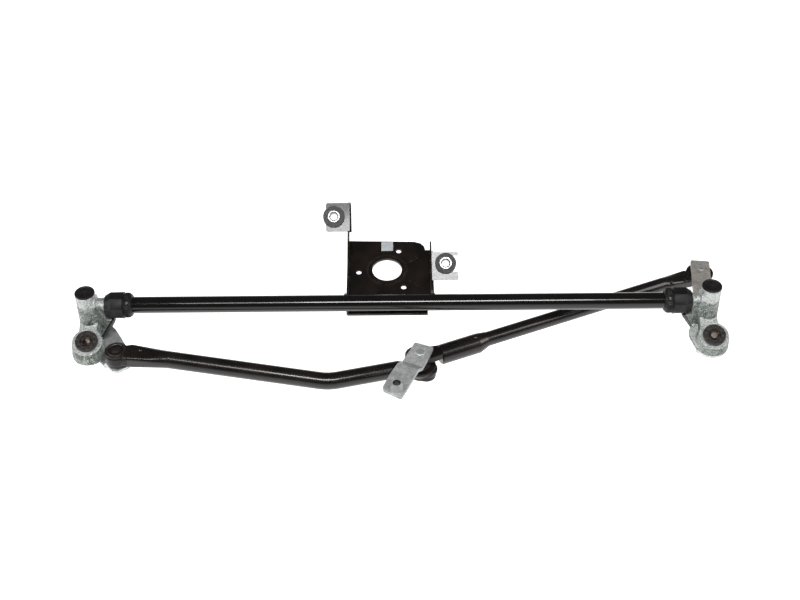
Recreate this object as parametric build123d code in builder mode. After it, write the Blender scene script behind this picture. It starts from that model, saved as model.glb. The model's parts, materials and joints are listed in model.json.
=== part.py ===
"""Windshield wiper linkage: tube frame with two pivot housings, motor bracket,
levers, link rods and crank.  Millimetres.  +X runs along the main tube from left to
right, -Y is the front, and +Z points along the wiper shafts to the capped barrel ends.
Dimensions are laid out from the middle of the main tube's axis; save() then shifts
each piece so that the files' origin is the centre of the motor hole in the bracket."""

from build123d import *
from collections import namedtuple
import math
import os

os.makedirs("parts", exist_ok=True)

# ---------------------------------------------------------------- shared dimensions
GAP = 0.02  # left between pieces that touch

PIVOT_X = 373.3  # half the distance between the two wiper shafts
TUBE_R = 10.0
TUBE_WALL = 1.5
TUBE_HALF = 349.0
LOCK_X = 323.5  # lock pins, either side of the middle
LOCK_NORMAL = (0, -0.64, 0.768)  # the pins point up and forwards
LOCK_HOLE_R = 1.62
LOCK_PIN_R = 1.58

BARREL_R = 13.1  # at the foot
BARREL_R_TOP = 11.9  # cast with draft
BARREL_TOP = 21.0
BARREL_BOTTOM = -50.0
BARREL_BORE = 7.5
SHAFT_R = 6.0
BUSH_CLEAR = 0.05  # radial running clearance

EAR_TILT = 22.0  # degrees the housing ear's face leans towards -Y
EAR_Y = -32.5
EAR_T = 11.0  # thickness round the grommet
EAR_SKIRT = 18.0  # height of the boss, hollow below the grommet
EAR_R_TOP = 18.4
EAR_R_LOW = 20.4
EAR_HOLLOW = 14.0
EAR_HOLE = 11.0

LEVER_T = 4.0
HUB_TOP = -53.5  # top face of the lever hubs
BALL_R = 8.0
BALL_CLEAR = 0.05
NECK_R = 4.6  # of the studs, next to the ball
NECK_RISE = math.sqrt(BALL_R**2 - NECK_R**2)  # ball centre to the neck's root
STUD_HOLE_R = 4.02  # in the levers

LEFT_BALL = (-333.4, -54.9, -30.5)
LEFT_END_TOP = -44.0  # top face of the lever at its ball
RIGHT_BALL = (384.9, 98.2, -45.3)
RIGHT_END_TOP = -32.0

PIN = (25.8, -53.4)  # crank pin axis
LOW_BALL = (*PIN, -58.0)  # lower ball of the crank stud
RING = (22.0, -48.9, -43.3)  # centre of the right rod's crank eye

# values that differ between the two sides
Side = namedtuple("Side", "name sign ear_x ear_z drop gusset_z gusset_x foot_step")
SIDES = (
    Side(
        name="left",
        sign=-1,
        ear_x=-373.2,
        ear_z=-30.0,
        drop=2.4,  # the barrel is this much shorter at its top
        gusset_z=-22.5,  # top of the gusset's diagonal edge
        gusset_x=354.5,  # foot of that edge, from the middle
        foot_step=-4.6,  # the ear's foot steps out to the front
    ),
    Side(
        name="right",
        sign=1,
        ear_x=377.4,
        ear_z=-28.5,
        drop=0.0,
        gusset_z=-20.5,
        gusset_x=357.0,
        foot_step=-1.4,
    ),
)

# motor bracket: u is along X, v up the plate, w along the plate's normal
PLATE_TILT = 7.5  # the plate rises towards +Y
PLATE_T = 2.0
PLATE_TOP = -TUBE_R - GAP  # w of the plate's top face
MOTOR_U, MOTOR_V = -13.6, 62.4
MOTOR_HOLE_R = 18.25
MOTOR_ORIGIN_W = -TUBE_R - 0.52  # half a millimetre below the plate's top face


# ---------------------------------------------------------------------- helpers
def cos_deg(angle):
    return math.cos(math.radians(angle))


def sin_deg(angle):
    return math.sin(math.radians(angle))


def tilted_normal(tilt):
    """Normal of a face that leans towards -Y."""
    return (0, -sin_deg(tilt), cos_deg(tilt))


def tilted_yz(tilt, v, w):
    """(y, z) of a point v up a tilted face and w along its normal."""
    return (
        v * cos_deg(tilt) - w * sin_deg(tilt),
        v * sin_deg(tilt) + w * cos_deg(tilt),
    )


def face_plane(point, normal, height=0.0):
    """Plane with its x axis along +X, height above point along normal."""
    return Plane(origin=point, x_dir=(1, 0, 0), z_dir=normal).offset(height)


def lock_plane(x, height=0.0):
    return face_plane((x, 0, 0), LOCK_NORMAL, height)


def upright_plane(x, y, angle=0.0):
    """Upright plane through (x, y): its x axis runs at angle in plan, its y axis is +Z."""
    return Plane(
        origin=(x, y, 0),
        x_dir=(cos_deg(angle), sin_deg(angle), 0),
        z_dir=(sin_deg(angle), -cos_deg(angle), 0),
    )


def plan_points(origin, angle, points, turn=1):
    """Plan points from (along, across) pairs; turn=1 has across 90 degrees
    counterclockwise from along, turn=-1 clockwise."""
    c, s = cos_deg(angle), sin_deg(angle)
    return [
        (origin[0] + a * c - turn * b * s, origin[1] + a * s + turn * b * c)
        for a, b in points
    ]


def plan_length_angle(start, end):
    """Distance in plan and its direction in degrees."""
    dx, dy = end[0] - start[0], end[1] - start[1]
    return math.hypot(dx, dy), math.degrees(math.atan2(dy, dx))


ORIGIN = (MOTOR_U, *tilted_yz(PLATE_TILT, MOTOR_V, MOTOR_ORIGIN_W))


def save(block, name):
    piece = block.part.translate((-ORIGIN[0], -ORIGIN[1], -ORIGIN[2]), transform=True)
    piece.label = name
    export_step(piece, f"parts/{name}.step")


def revolved(name, xy, draw):
    """Piece revolved about the upright axis at xy; draw adds its (radius, z) lines."""
    with BuildPart() as piece:
        with BuildSketch(upright_plane(*xy)):
            with BuildLine():
                draw()
            make_face()
        revolve(axis=Axis((xy[0], xy[1], 0), (0, 0, 1)))
    save(piece, name)


def rings(name, x, rows):
    """Stack of rings on the shaft axis at x: rows of (z0, z1, outer r, inner r)."""
    with BuildPart() as piece:
        for z0, z1, outer, inner in rows:
            with BuildSketch(Plane.XY.offset(z0)):
                with Locations((x, 0)):
                    Circle(outer)
                    Circle(inner, mode=Mode.SUBTRACT)
            extrude(amount=z1 - z0)
    save(piece, name)


# -------------------------------------------------------- main tube and lock pins
def main_tube():
    with BuildPart() as tube:
        with BuildSketch(Plane.YZ.offset(-TUBE_HALF)):
            Circle(TUBE_R)
            Circle(TUBE_R - TUBE_WALL, mode=Mode.SUBTRACT)
        extrude(amount=2 * TUBE_HALF)
        # lock-pin holes, through the wall that faces up and forwards
        for x in (-LOCK_X, LOCK_X):
            with BuildSketch(lock_plane(x)):
                Circle(LOCK_HOLE_R)
            extrude(amount=20, mode=Mode.SUBTRACT)
    save(tube, "main_tube")


def tube_lock_pins():
    with BuildPart() as pins:
        for x in (-LOCK_X, LOCK_X):
            with BuildSketch(lock_plane(x, 4.8)):
                Circle(LOCK_PIN_R)
            extrude(amount=10.1)
    save(pins, "tube_lock_pins")


# ---------------------------------------------------------------- pivot housings
NECK_COLLAR_R = 9.3  # neck between barrel and tube
GUSSET_BACK = 8.5  # y of the gusset's back face
GUSSET_T = 17.5
FOOT_H = 3.0  # straight foot of the ear's boss
RIM_H = 1.5  # straight rim at the boss's top


def ear_plane(side, x, height=0.0):
    return face_plane((x, EAR_Y, side.ear_z), tilted_normal(EAR_TILT), height)


def pivot_housing(side):
    sign = side.sign
    pivot = sign * PIVOT_X
    with BuildPart() as housing:
        # barrel, tapered for casting
        with BuildSketch(Plane.XY.offset(BARREL_BOTTOM)):
            with Locations((pivot, 0)):
                Circle(BARREL_R)
        with BuildSketch(Plane.XY.offset(BARREL_TOP - side.drop)):
            with Locations((pivot, 0)):
                Circle(BARREL_R_TOP)
        loft(ruled=True)
        # neck and the spigot that enters the tube
        with BuildSketch(Plane.YZ.offset(pivot)):
            Circle(NECK_COLLAR_R)
        extrude(amount=-sign * 21.8)
        with BuildSketch(Plane.YZ.offset(sign * 352)):
            Circle(TUBE_R - TUBE_WALL - 0.03)
        extrude(amount=-sign * 36)
        # raised rim where the neck meets the barrel
        with BuildSketch(Plane.YZ.offset(sign * (PIVOT_X - 12.0))):
            RectangleRounded(20, 25, 6)
        extrude(amount=sign * 9)
        # gusset under the neck, one diagonal edge from barrel foot to collar
        with BuildSketch(Plane.XZ.offset(-GUSSET_BACK)):
            Polygon(
                (sign * 366, -2),
                (sign * 352, -2),
                (sign * 352, -16.2),
                (sign * 342, -16.2),
                (sign * 342, side.gusset_z),
                (sign * side.gusset_x, -43.5),
                (sign * 366, -44.5),
                align=None,
            )
        extrude(amount=GUSSET_T)
        # the gusset's front face is cut back along the diagonal, if that edge
        # is the only one found
        diagonal = (
            housing.edges()
            .filter_by(lambda e: abs(e.center().Y - (GUSSET_BACK - GUSSET_T)) < 0.2)
            .filter_by(
                lambda e: abs(e.center().Z - (-32.0)) < 2.5 and 22.0 < e.length < 30.0
            )
        )
        if len(diagonal) == 1:
            chamfer(diagonal, length=4.0)
        # mounting ear: a foot, a drafted boss and a straight rim
        with BuildSketch(ear_plane(side, side.ear_x, -EAR_SKIRT)):
            with Locations((0, side.foot_step)):
                Circle(EAR_R_LOW)
        extrude(amount=FOOT_H)
        with BuildSketch(ear_plane(side, side.ear_x, -EAR_SKIRT + FOOT_H)):
            with Locations((0, side.foot_step)):
                Circle(EAR_R_LOW)
        with BuildSketch(ear_plane(side, side.ear_x, -1.0)):
            Circle(EAR_R_TOP)
        loft(ruled=True)
        with BuildSketch(ear_plane(side, side.ear_x, -RIM_H)):
            Circle(EAR_R_TOP)
        extrude(amount=RIM_H)
        if sign > 0:
            # the right ear stands on a wider foot that runs out to the gusset
            with BuildSketch(ear_plane(side, side.ear_x, -EAR_SKIRT)):
                with Locations((-1.0, -1.2)):
                    Circle(20.6)
                with Locations((-10.0, 10.0)):
                    Circle(16.4)
                make_hull()
            extrude(amount=7.0)
        # web from the ear to the barrel
        with BuildSketch(ear_plane(side, pivot, -EAR_SKIRT)):
            with Locations((0, 18)):
                Rectangle(22, 36)
        extrude(amount=EAR_SKIRT)
        # grommet hole, and the hollow below it
        with BuildSketch(ear_plane(side, side.ear_x, 8)):
            Circle(EAR_HOLE)
        extrude(amount=-50, mode=Mode.SUBTRACT)
        with BuildSketch(ear_plane(side, side.ear_x, -EAR_T)):
            Circle(EAR_HOLLOW)
        extrude(amount=-30, mode=Mode.SUBTRACT)
        # foot trimmed level above the lever
        with BuildSketch(Plane.XY.offset(HUB_TOP + 0.6)):
            with Locations((pivot, -30)):
                Rectangle(90, 130)
        extrude(amount=-30, mode=Mode.SUBTRACT)
        # shaft bore right through
        with BuildSketch(Plane.XY.offset(BARREL_BOTTOM - 1)):
            with Locations((pivot, 0)):
                Circle(BARREL_BORE)
        extrude(amount=BARREL_TOP - BARREL_BOTTOM + 2, mode=Mode.SUBTRACT)
        # lock-pin hole in the spigot
        with BuildSketch(lock_plane(sign * LOCK_X, 4.5)):
            Circle(LOCK_HOLE_R)
        extrude(amount=8, mode=Mode.SUBTRACT)
    save(housing, side.name + "_pivot_housing")


# ------------------------------------------------------------------ tube collars
# (distance from the middle of the tube, radius)
COLLAR_OUTLINE = (
    (351.5, 10.05), (351.5, 10.9), (350.6, 12.2), (344.6, 15.3), (343.2, 15.6),
    (328.4, 15.6), (328.0, 15.2), (328.0, 14.2), (326.9, 14.2), (326.9, 14.7),
    (321.6, 14.5), (318.6, 12.6), (318.0, 11.2), (318.0, 10.05),
)


def tube_collar(side):
    sign = side.sign
    with BuildPart() as collar:
        with BuildSketch(Plane.XZ):
            with BuildLine():
                Polyline(*[(sign * x, radius) for x, radius in COLLAR_OUTLINE], close=True)
            make_face()
        revolve(axis=Axis.X)
        # shallow groove round the widest part, near its inner end
        with BuildSketch(Plane.YZ.offset(sign * 329.6)):
            Circle(16.5)
            Circle(15.3, mode=Mode.SUBTRACT)
        extrude(amount=sign * 0.5, mode=Mode.SUBTRACT)
        with BuildSketch(lock_plane(sign * LOCK_X)):
            Circle(LOCK_HOLE_R)
        extrude(amount=20, mode=Mode.SUBTRACT)
    save(collar, side.name + "_tube_collar")


# ----------------------------------------------------------------- motor bracket
BRACKET_EAR_TILT = 42.0  # tilt of both bracket ears
LEFT_EAR = (-79.3, 115.0, 41.7)  # slot centres on the ears' top faces
RIGHT_EAR = (58.5, 60.0, 10.6)
SLOT_R = 10.0
BOLT_PCD = 70.0
BOLT_R = 3.3


def plate_plane(w):
    return face_plane((0, 0, 0), tilted_normal(PLATE_TILT), w)


def bracket_ear_plane(centre, height=0.0):
    return face_plane(centre, tilted_normal(BRACKET_EAR_TILT), height)


def on_plate(v, w):
    """(y, z) of a point given along and above the plate."""
    return tilted_yz(PLATE_TILT, v, w)


def on_ear(centre, v, w=0.0):
    """(y, z) of a point given along and above a bracket ear."""
    y, z = tilted_yz(BRACKET_EAR_TILT, v, w)
    return (centre[1] + y, centre[2] + z)


PLATE_LOW = PLATE_TOP - PLATE_T

# (u, v)
PLATE_OUTLINE = (
    (-61.0, -9.0), (-61.0, 112.6), (20.5, 110.4), (28.5, 107.6), (33.0, 102.0),
    (34.2, 95.8), (40.6, 95.8), (41.0, 23.0), (35.5, 14.0), (35.5, -9.0),
)
# pressed ribs: u, v, angle
RIBS = ((18.0, 79.5, 36.0), (20.5, 41.5, -35.0))

# (y, z) outlines of the pieces that stand on the plate
LEFT_WALL = (
    on_plate(-9, PLATE_LOW),
    on_plate(-9, -4.0),
    on_plate(14, 2.5),
    on_plate(60, 2.5),
    on_plate(88, 12.0),
    on_ear(LEFT_EAR, -18.5),
    on_ear(LEFT_EAR, 17.7),
    (134.0, 50.0),
    (131.0, 36.0),
    (117.0, 8.0),
    on_plate(112.6, PLATE_LOW),
)
REAR_FLANGE = (
    on_ear(LEFT_EAR, 15.7),
    on_ear(LEFT_EAR, 17.7),
    (134.0, 50.0),
    (131.0, 36.0),
    (119.6, 14.0),
    (117.4, 15.2),
    (128.6, 37.0),
    (131.2, 48.4),
)
RIGHT_WALL = (
    on_plate(23.0, PLATE_LOW),
    on_plate(23.0, -6.0),
    on_plate(34, 0.0),
    on_plate(60, 5.0),
    on_plate(84, 6.5),
    on_plate(95.8, 5.5),
    on_plate(95.8, PLATE_LOW),
)
RIGHT_EAR_TAB = (
    on_plate(23.5, PLATE_LOW),
    on_plate(23.5, -7.0),
    on_ear(RIGHT_EAR, -20.5, -2.0),
    on_ear(RIGHT_EAR, -20.5),
    on_ear(RIGHT_EAR, 14.4),
    (73.0, 19.5),
    on_plate(76.0, 2.0),
    on_plate(76.0, PLATE_LOW),
)
# x of the left face, thickness, outline
WALLS = (
    (-62.4, 2.0, LEFT_WALL),
    (-62.4, 4.4, REAR_FLANGE),  # the left wall's rear edge, folded in
    (39.6, 2.0, RIGHT_WALL),
    (41.5, 2.2, RIGHT_EAR_TAB),  # carries the right ear
)
# slot centre; tongue's x, y, width, length; x and width of the square-cornered
# strip at its root; side to which the slot opens
BRACKET_EARS = (
    (LEFT_EAR, 4.8, -0.4, 29.6, 36.2, 12.0, 10.6, -1),
    (RIGHT_EAR, 0.3, -3.05, 30.4, 34.9, -10.0, 10, 1),
)


def motor_bracket():
    with BuildPart() as bracket:
        with BuildSketch(plate_plane(PLATE_LOW)):
            with BuildLine():
                Polyline(*PLATE_OUTLINE, close=True)
            make_face()
        extrude(amount=PLATE_T)
        # front lip, turned down
        with BuildSketch(plate_plane(PLATE_LOW - 0.9)):
            with Locations((-12.75, -8.0)):
                Rectangle(96.5, 2.0)
        extrude(amount=1.0)
        # raised ring round the motor hole and two pressed ribs
        with BuildSketch(plate_plane(PLATE_TOP)):
            with Locations((MOTOR_U, MOTOR_V)):
                Circle(MOTOR_HOLE_R + 4.5)
        extrude(amount=1.0, taper=35)
        for u, v, angle in RIBS:
            with BuildSketch(plate_plane(PLATE_TOP)):
                with Locations(Location((u, v), angle)):
                    SlotOverall(19, 4.2)
            extrude(amount=0.9, taper=30)
        for x, thickness, outline in WALLS:
            with BuildSketch(Plane.YZ.offset(x)):
                Polygon(*outline, align=None)
            extrude(amount=thickness)
        # ears: flat tongues with a slot that opens sideways
        for centre, x, y, width, length, root_x, root_width, opening in BRACKET_EARS:
            with BuildSketch(bracket_ear_plane(centre, -PLATE_T)):
                with Locations((x, y)):
                    RectangleRounded(width, length, 2.5)
                with Locations((root_x, y)):
                    Rectangle(root_width, length)
                Circle(SLOT_R, mode=Mode.SUBTRACT)
                with Locations((opening * SLOT_R, 0)):
                    Rectangle(2 * SLOT_R, 2 * SLOT_R, mode=Mode.SUBTRACT)
            extrude(amount=PLATE_T)
        # saddle where the walls meet the tube
        with BuildSketch(Plane.YZ.offset(-70)):
            Circle(TUBE_R + GAP)
        extrude(amount=140, mode=Mode.SUBTRACT)
        # motor hole and its three bolt holes
        with BuildSketch(plate_plane(5)):
            with Locations((MOTOR_U, MOTOR_V)):
                Circle(MOTOR_HOLE_R)
                with PolarLocations(BOLT_PCD / 2, 3, start_angle=65.5):
                    Circle(BOLT_R)
        extrude(amount=-25, mode=Mode.SUBTRACT)
    save(bracket, "motor_bracket")


# beads across the tube at each wall, then along the plate's rear contact:
# x0, x1, (y, z), radius
WELD_BEADS = (
    (-66.0, -59.0, (8.2, 8.6), 2.6),
    (38.0, 44.0, (8.2, 8.6), 2.4),
    (-52.0, -34.0, on_plate(4.6, -9.4), 1.3),
    (14.0, 32.0, on_plate(4.6, -9.4), 1.3),
)


def bracket_weld_beads():
    with BuildPart() as beads:
        for x0, x1, centre, radius in WELD_BEADS:
            with BuildSketch(Plane.YZ.offset(x0)):
                with Locations(centre):
                    Circle(radius)
            extrude(amount=x1 - x0)
    save(beads, "bracket_weld_beads")


def bracket_label():
    with BuildPart() as label:
        with BuildSketch(plate_plane(PLATE_TOP + GAP)):
            with Locations((-13.4, 102.4)):
                RectangleRounded(14.6, 15.4, 0.8)
        extrude(amount=0.35)
    save(label, "bracket_label")


# ------------------------------------------------- grommets and steel sleeves
BRACKET_SLEEVE_R = 6.0  # holes in the rubber, round the sleeves
BRACKET_SLEEVE_BORE = 4.5
EAR_SLEEVE_R = 6.5
EAR_SLEEVE_BORE = 4.2  # M8 clearance
EAR_FLANGE_H = 1.6  # rubber flange and sleeve below the housing ear


def grommet(name, plane, thickness, hole_r, lower, upper, rim_fillet, bore_r):
    """Rubber in a hole of hole_r; plane is the ear's top face, thickness the ear's,
    and lower and upper are the (radius, height) of the flanges."""
    lower_r, lower_h = lower
    upper_r, upper_h = upper
    with BuildPart() as rubber:
        with BuildSketch(plane.offset(-thickness - lower_h)):
            Circle(lower_r)
        extrude(amount=lower_h - GAP)
        with BuildSketch(plane.offset(-thickness - GAP)):
            Circle(hole_r - 0.03)
        extrude(amount=thickness + 2 * GAP)
        with BuildSketch(plane.offset(GAP)):
            Circle(upper_r)
        extrude(amount=upper_h)
        rims = rubber.edges().filter_by(lambda e: abs(e.length - 2 * math.pi * upper_r) < 0.1)
        fillet(rims, rim_fillet)
        with BuildSketch(plane.offset(-20)):
            Circle(bore_r)
        extrude(amount=40, mode=Mode.SUBTRACT)
    save(rubber, name)


def bracket_sleeve(name, centre):
    with BuildPart() as sleeve:
        with BuildSketch(bracket_ear_plane(centre, -PLATE_T - 4.0)):
            Circle(BRACKET_SLEEVE_R - GAP)
        extrude(amount=PLATE_T + 7.6)
        # head above the rubber
        with BuildSketch(bracket_ear_plane(centre, 3.46)):
            Circle(7.6)
        extrude(amount=1.1)
        with BuildSketch(bracket_ear_plane(centre, -10)):
            Circle(BRACKET_SLEEVE_BORE)
        extrude(amount=20, mode=Mode.SUBTRACT)
    save(sleeve, name)


def ear_sleeve(side):
    with BuildPart() as sleeve:
        with BuildSketch(ear_plane(side, side.ear_x, -EAR_T - EAR_FLANGE_H)):
            Circle(EAR_SLEEVE_R - GAP)
            Circle(EAR_SLEEVE_BORE, mode=Mode.SUBTRACT)
        extrude(amount=EAR_T + EAR_FLANGE_H + 4.0)
        top_edges = sleeve.edges().group_by(Axis.Z)[-1].filter_by(GeomType.CIRCLE)
        chamfer(top_edges.sort_by(SortBy.LENGTH)[0], 0.8)
    save(sleeve, side.name + "_ear_sleeve")


def bracket_mounts():
    for name, centre, flange_r in (("left", LEFT_EAR, 13.45), ("right", RIGHT_EAR, 13.0)):
        grommet(
            name + "_bracket_grommet",
            bracket_ear_plane(centre),
            thickness=PLATE_T,
            hole_r=SLOT_R,
            lower=(flange_r, 3.4),
            upper=(flange_r, 3.4),
            rim_fillet=0.9,
            bore_r=BRACKET_SLEEVE_R,
        )
        bracket_sleeve(name + "_bracket_sleeve", centre)


def ear_mount(side):
    grommet(
        side.name + "_ear_grommet",
        ear_plane(side, side.ear_x),
        thickness=EAR_T,
        hole_r=EAR_HOLE,
        lower=(12.6, EAR_FLANGE_H),
        upper=(13.7, 4.6),
        rim_fillet=1.0,
        bore_r=EAR_SLEEVE_R,
    )
    ear_sleeve(side)


# ---------------------------------------------- caps, bushes, shafts, washers
GROOVE_R = 5.28  # retaining-ring groove in the shaft
SHAFT_COLLAR_TOP = HUB_TOP - LEVER_T - GAP  # collar under the lever's hub

# (radius, z), before the side's drop
CAP_OUTLINE = (
    (0, 20.5), (7.3, 20.5), (7.3, 21.02), (11.8, 21.02), (12.0, 22.4), (11.4, 23.4),
    (10.4, 23.5), (9.8, 23.2), (3.0, 23.2), (2.2, 22.6), (0, 22.4),
)
# (radius, z): the top moves with the side's drop, the foot doesn't
SHAFT_TOP = (
    (0, 20.3), (5.4, 20.3), (SHAFT_R, 19.92), (GROOVE_R, 19.92), (GROOVE_R, 18.98),
    (SHAFT_R, 18.98),
)
SHAFT_FOOT = (
    (SHAFT_R, SHAFT_COLLAR_TOP), (8.5, SHAFT_COLLAR_TOP), (8.5, -59.5), (SHAFT_R, -59.5),
    (SHAFT_R, -64.0), (5.0, -72.0), (4.0, -72.6), (4.0, -85.0), (3.2, -85.8), (0, -85.8),
)


def lowered(outline, drop):
    return [(radius, z - drop) for radius, z in outline]


def retaining_ring(side):
    """Ring in the shaft's groove, open on its +X side."""
    pivot = side.sign * PIVOT_X
    with BuildPart() as ring:
        with BuildSketch(Plane.XY.offset(19.0 - side.drop)):
            with Locations((pivot, 0)):
                Circle(7.2)
                Circle(5.3, mode=Mode.SUBTRACT)
            with Locations((pivot + 6, 0)):
                Rectangle(5, 4, mode=Mode.SUBTRACT)
        extrude(amount=0.9)
    save(ring, side.name + "_retaining_ring")


def pivot_shaft(side):
    pivot = side.sign * PIVOT_X
    with BuildPart() as shaft:
        with BuildSketch(upright_plane(pivot, 0)):
            with BuildLine():
                Polyline(*lowered(SHAFT_TOP, side.drop), *SHAFT_FOOT, close=True)
            make_face()
        revolve(axis=Axis((pivot, 0, 0), (0, 0, 1)))
        # splines on the cone that takes the wiper arm
        with BuildSketch(Plane.XY.offset(-64.5)):
            with Locations((pivot, 0)):
                with PolarLocations(6.15, 24):
                    Rectangle(0.9, 0.55)
        extrude(amount=-8.2, mode=Mode.SUBTRACT)
    save(shaft, side.name + "_pivot_shaft")


def barrel_fittings(side):
    pivot = side.sign * PIVOT_X
    cap = lowered(CAP_OUTLINE, side.drop)
    revolved(side.name + "_barrel_cap", (pivot, 0), lambda: Polyline(*cap, close=True))
    bush_r = (BARREL_BORE - GAP, SHAFT_R + BUSH_CLEAR)
    rings(
        side.name + "_shaft_bushes",
        pivot,
        [
            (6.0 - side.drop, 17.9 - side.drop, *bush_r),
            (BARREL_BOTTOM + 0.2, BARREL_BOTTOM + 13.0, *bush_r),
        ],
    )
    rings(
        side.name + "_shaft_seal",
        pivot,
        [(HUB_TOP + 0.1, BARREL_BOTTOM - GAP, 12.0, SHAFT_R + 0.1)],
    )
    rings(
        side.name + "_thrust_washer",
        pivot,
        [(18.0 - side.drop, 18.9 - side.drop, 7.3, SHAFT_R + GAP)],
    )
    retaining_ring(side)
    pivot_shaft(side)


# --------------------------------------------------------------------- levers
LEVER_CUT_Z = -64  # plan cuts through the levers start here, below both
HUB_R = 14.0
LEFT_PIVOT = (-PIVOT_X, 0)
RIGHT_PIVOT = (PIVOT_X, 0)
LEFT_LEN, LEFT_ANGLE = plan_length_angle(LEFT_PIVOT, LEFT_BALL)
RIGHT_LEN, RIGHT_ANGLE = plan_length_angle(RIGHT_PIVOT, RIGHT_BALL)
RIGHT_TIP = RIGHT_LEN + 14.4  # from the pivot to the end of the plate

# from the ball: along the lever away from the pivot, across towards +X
LEFT_LEVER_OUTLINE = (
    (11.4, -7.5), (11.4, 8.0), (5.6, 13.3), (-27.0, 24.0), (-50.0, 26.8),
    (-65.0, 28.2), (-75.0, 27.6), (-80.5, 20.0), (-82.5, 6.0), (-82.0, -5.0),
    (-77.0, -11.0), (-68.0, -14.0), (0.0, -12.3), (7.5, -12.0),
)


def lever_profile(pivot, angle, tip, back, end_top, joggle):
    """Side view of a joggled flat lever, in the upright plane along its length.

    tip and back are its ends from the pivot; joggle is where the slope starts and ends."""
    slope_start, slope_end = joggle
    half_slope = math.atan2(end_top - HUB_TOP, slope_end - slope_start) / 2
    miter = LEVER_T * math.tan(half_slope)
    with BuildSketch(upright_plane(*pivot, angle)) as side_view:
        with BuildLine():
            Polyline(
                (-back, HUB_TOP),
                (slope_start, HUB_TOP),
                (slope_end, end_top),
                (tip, end_top),
                (tip, end_top - LEVER_T),
                (slope_end + miter, end_top - LEVER_T),
                (slope_start + miter, HUB_TOP - LEVER_T),
                (-back, HUB_TOP - LEVER_T),
                close=True,
            )
        make_face()
    return side_view.sketch


def left_lever():
    profile = lever_profile(
        LEFT_PIVOT, LEFT_ANGLE, LEFT_LEN + 14, 16, LEFT_END_TOP, joggle=(51.0, 57.5)
    )
    with BuildPart() as lever:
        extrude(profile, amount=40, both=True)
        with BuildSketch(Plane.XY.offset(LEVER_CUT_Z)):
            Polygon(*plan_points(LEFT_BALL, LEFT_ANGLE, LEFT_LEVER_OUTLINE), align=None)
            with Locations(LEFT_PIVOT):
                Circle(HUB_R)
        extrude(amount=34, mode=Mode.INTERSECT)
        with BuildSketch(Plane.XY.offset(LEVER_CUT_Z)):
            with Locations(LEFT_PIVOT):
                Circle(SHAFT_R + GAP)
            with Locations(LEFT_BALL[:2]):
                Circle(STUD_HOLE_R)
        extrude(amount=34, mode=Mode.SUBTRACT)
    save(lever, "left_lever")


def right_lever():
    profile = lever_profile(
        RIGHT_PIVOT, RIGHT_ANGLE, RIGHT_TIP, 15, RIGHT_END_TOP, joggle=(19.0, 44.0)
    )

    def from_pivot(edge):
        """Distance of an edge's centre along the lever."""
        at = edge.center()
        return (at.X - PIVOT_X) * cos_deg(RIGHT_ANGLE) + at.Y * sin_deg(RIGHT_ANGLE)

    with BuildPart() as lever:
        extrude(profile, amount=20, both=True)
        # plan outline: a straight strip, squared off at the pivot, and a round hub
        with BuildSketch(Plane.XY.offset(LEVER_CUT_Z)):
            with Locations(Location(RIGHT_PIVOT, RIGHT_ANGLE)):
                with Locations((56, 0)):
                    Rectangle(130, 23.6)
                Circle(HUB_R)
            with Locations(Location(RIGHT_PIVOT, RIGHT_ANGLE)):
                with Locations((-14, 0)):
                    Rectangle(28, 40, mode=Mode.SUBTRACT)
            with Locations(RIGHT_PIVOT):
                Circle(HUB_R)
        extrude(amount=44, mode=Mode.INTERSECT)
        tip_edges = lever.edges().filter_by(Axis.Z)
        fillet(tip_edges.filter_by(lambda e: abs(from_pivot(e) - RIGHT_TIP) < 0.3), 2.4)
        with BuildSketch(Plane.XY.offset(LEVER_CUT_Z)):
            with Locations(RIGHT_PIVOT):
                Circle(SHAFT_R + GAP)
            with Locations(RIGHT_BALL[:2]):
                Circle(STUD_HOLE_R)
        extrude(amount=44, mode=Mode.SUBTRACT)
    save(lever, "right_lever")


# ----------------------------------------------------------------- ball studs
CRANK_TOP = -31.0  # top face at the pin end
CRANK_LOW = CRANK_TOP - LEVER_T
STUD_SHANK_R = 4.0  # in the levers
CRANK_SHANK_R = 4.5
UPPER_BALL_R = 5.0  # the crank stud's small ball, at the eye
UPPER_NECK_R = 4.0
UPPER_NECK_RISE = math.sqrt(UPPER_BALL_R**2 - UPPER_NECK_R**2)


def left_stud_outline():
    """Ball above the lever, riveted head below it."""
    ball_z = LEFT_BALL[2]
    top = LEFT_END_TOP
    low = top - LEVER_T
    Polyline(
        (0, ball_z + BALL_R), (0, low - 2.2), (4.5, low - 2.2), (6.2, low - 1.2),
        (6.2, low - GAP), (STUD_SHANK_R, low - GAP), (STUD_SHANK_R, top + GAP),
        (6.8, top + GAP), (6.8, top + 1.2), (NECK_R, top + 2.0),
        (NECK_R, ball_z - NECK_RISE),
    )
    ThreePointArc((NECK_R, ball_z - NECK_RISE), (BALL_R, ball_z), (0, ball_z + BALL_R))


def right_stud_outline():
    """Ball below the lever, riveted head above it."""
    ball_z = RIGHT_BALL[2]
    top = RIGHT_END_TOP
    low = top - LEVER_T
    Polyline(
        (0, ball_z - BALL_R), (0, top + 0.5), (1.2, top + 0.55), (1.9, top + 1.0),
        (4.6, top + 0.9), (5.6, top + 0.3), (5.6, top + GAP), (STUD_SHANK_R, top + GAP),
        (STUD_SHANK_R, low - GAP), (6.0, low - GAP), (6.0, low - 0.8), (NECK_R, low - 1.0),
        (NECK_R, ball_z + NECK_RISE),
    )
    ThreePointArc((NECK_R, ball_z + NECK_RISE), (BALL_R, ball_z), (0, ball_z - BALL_R))


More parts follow.
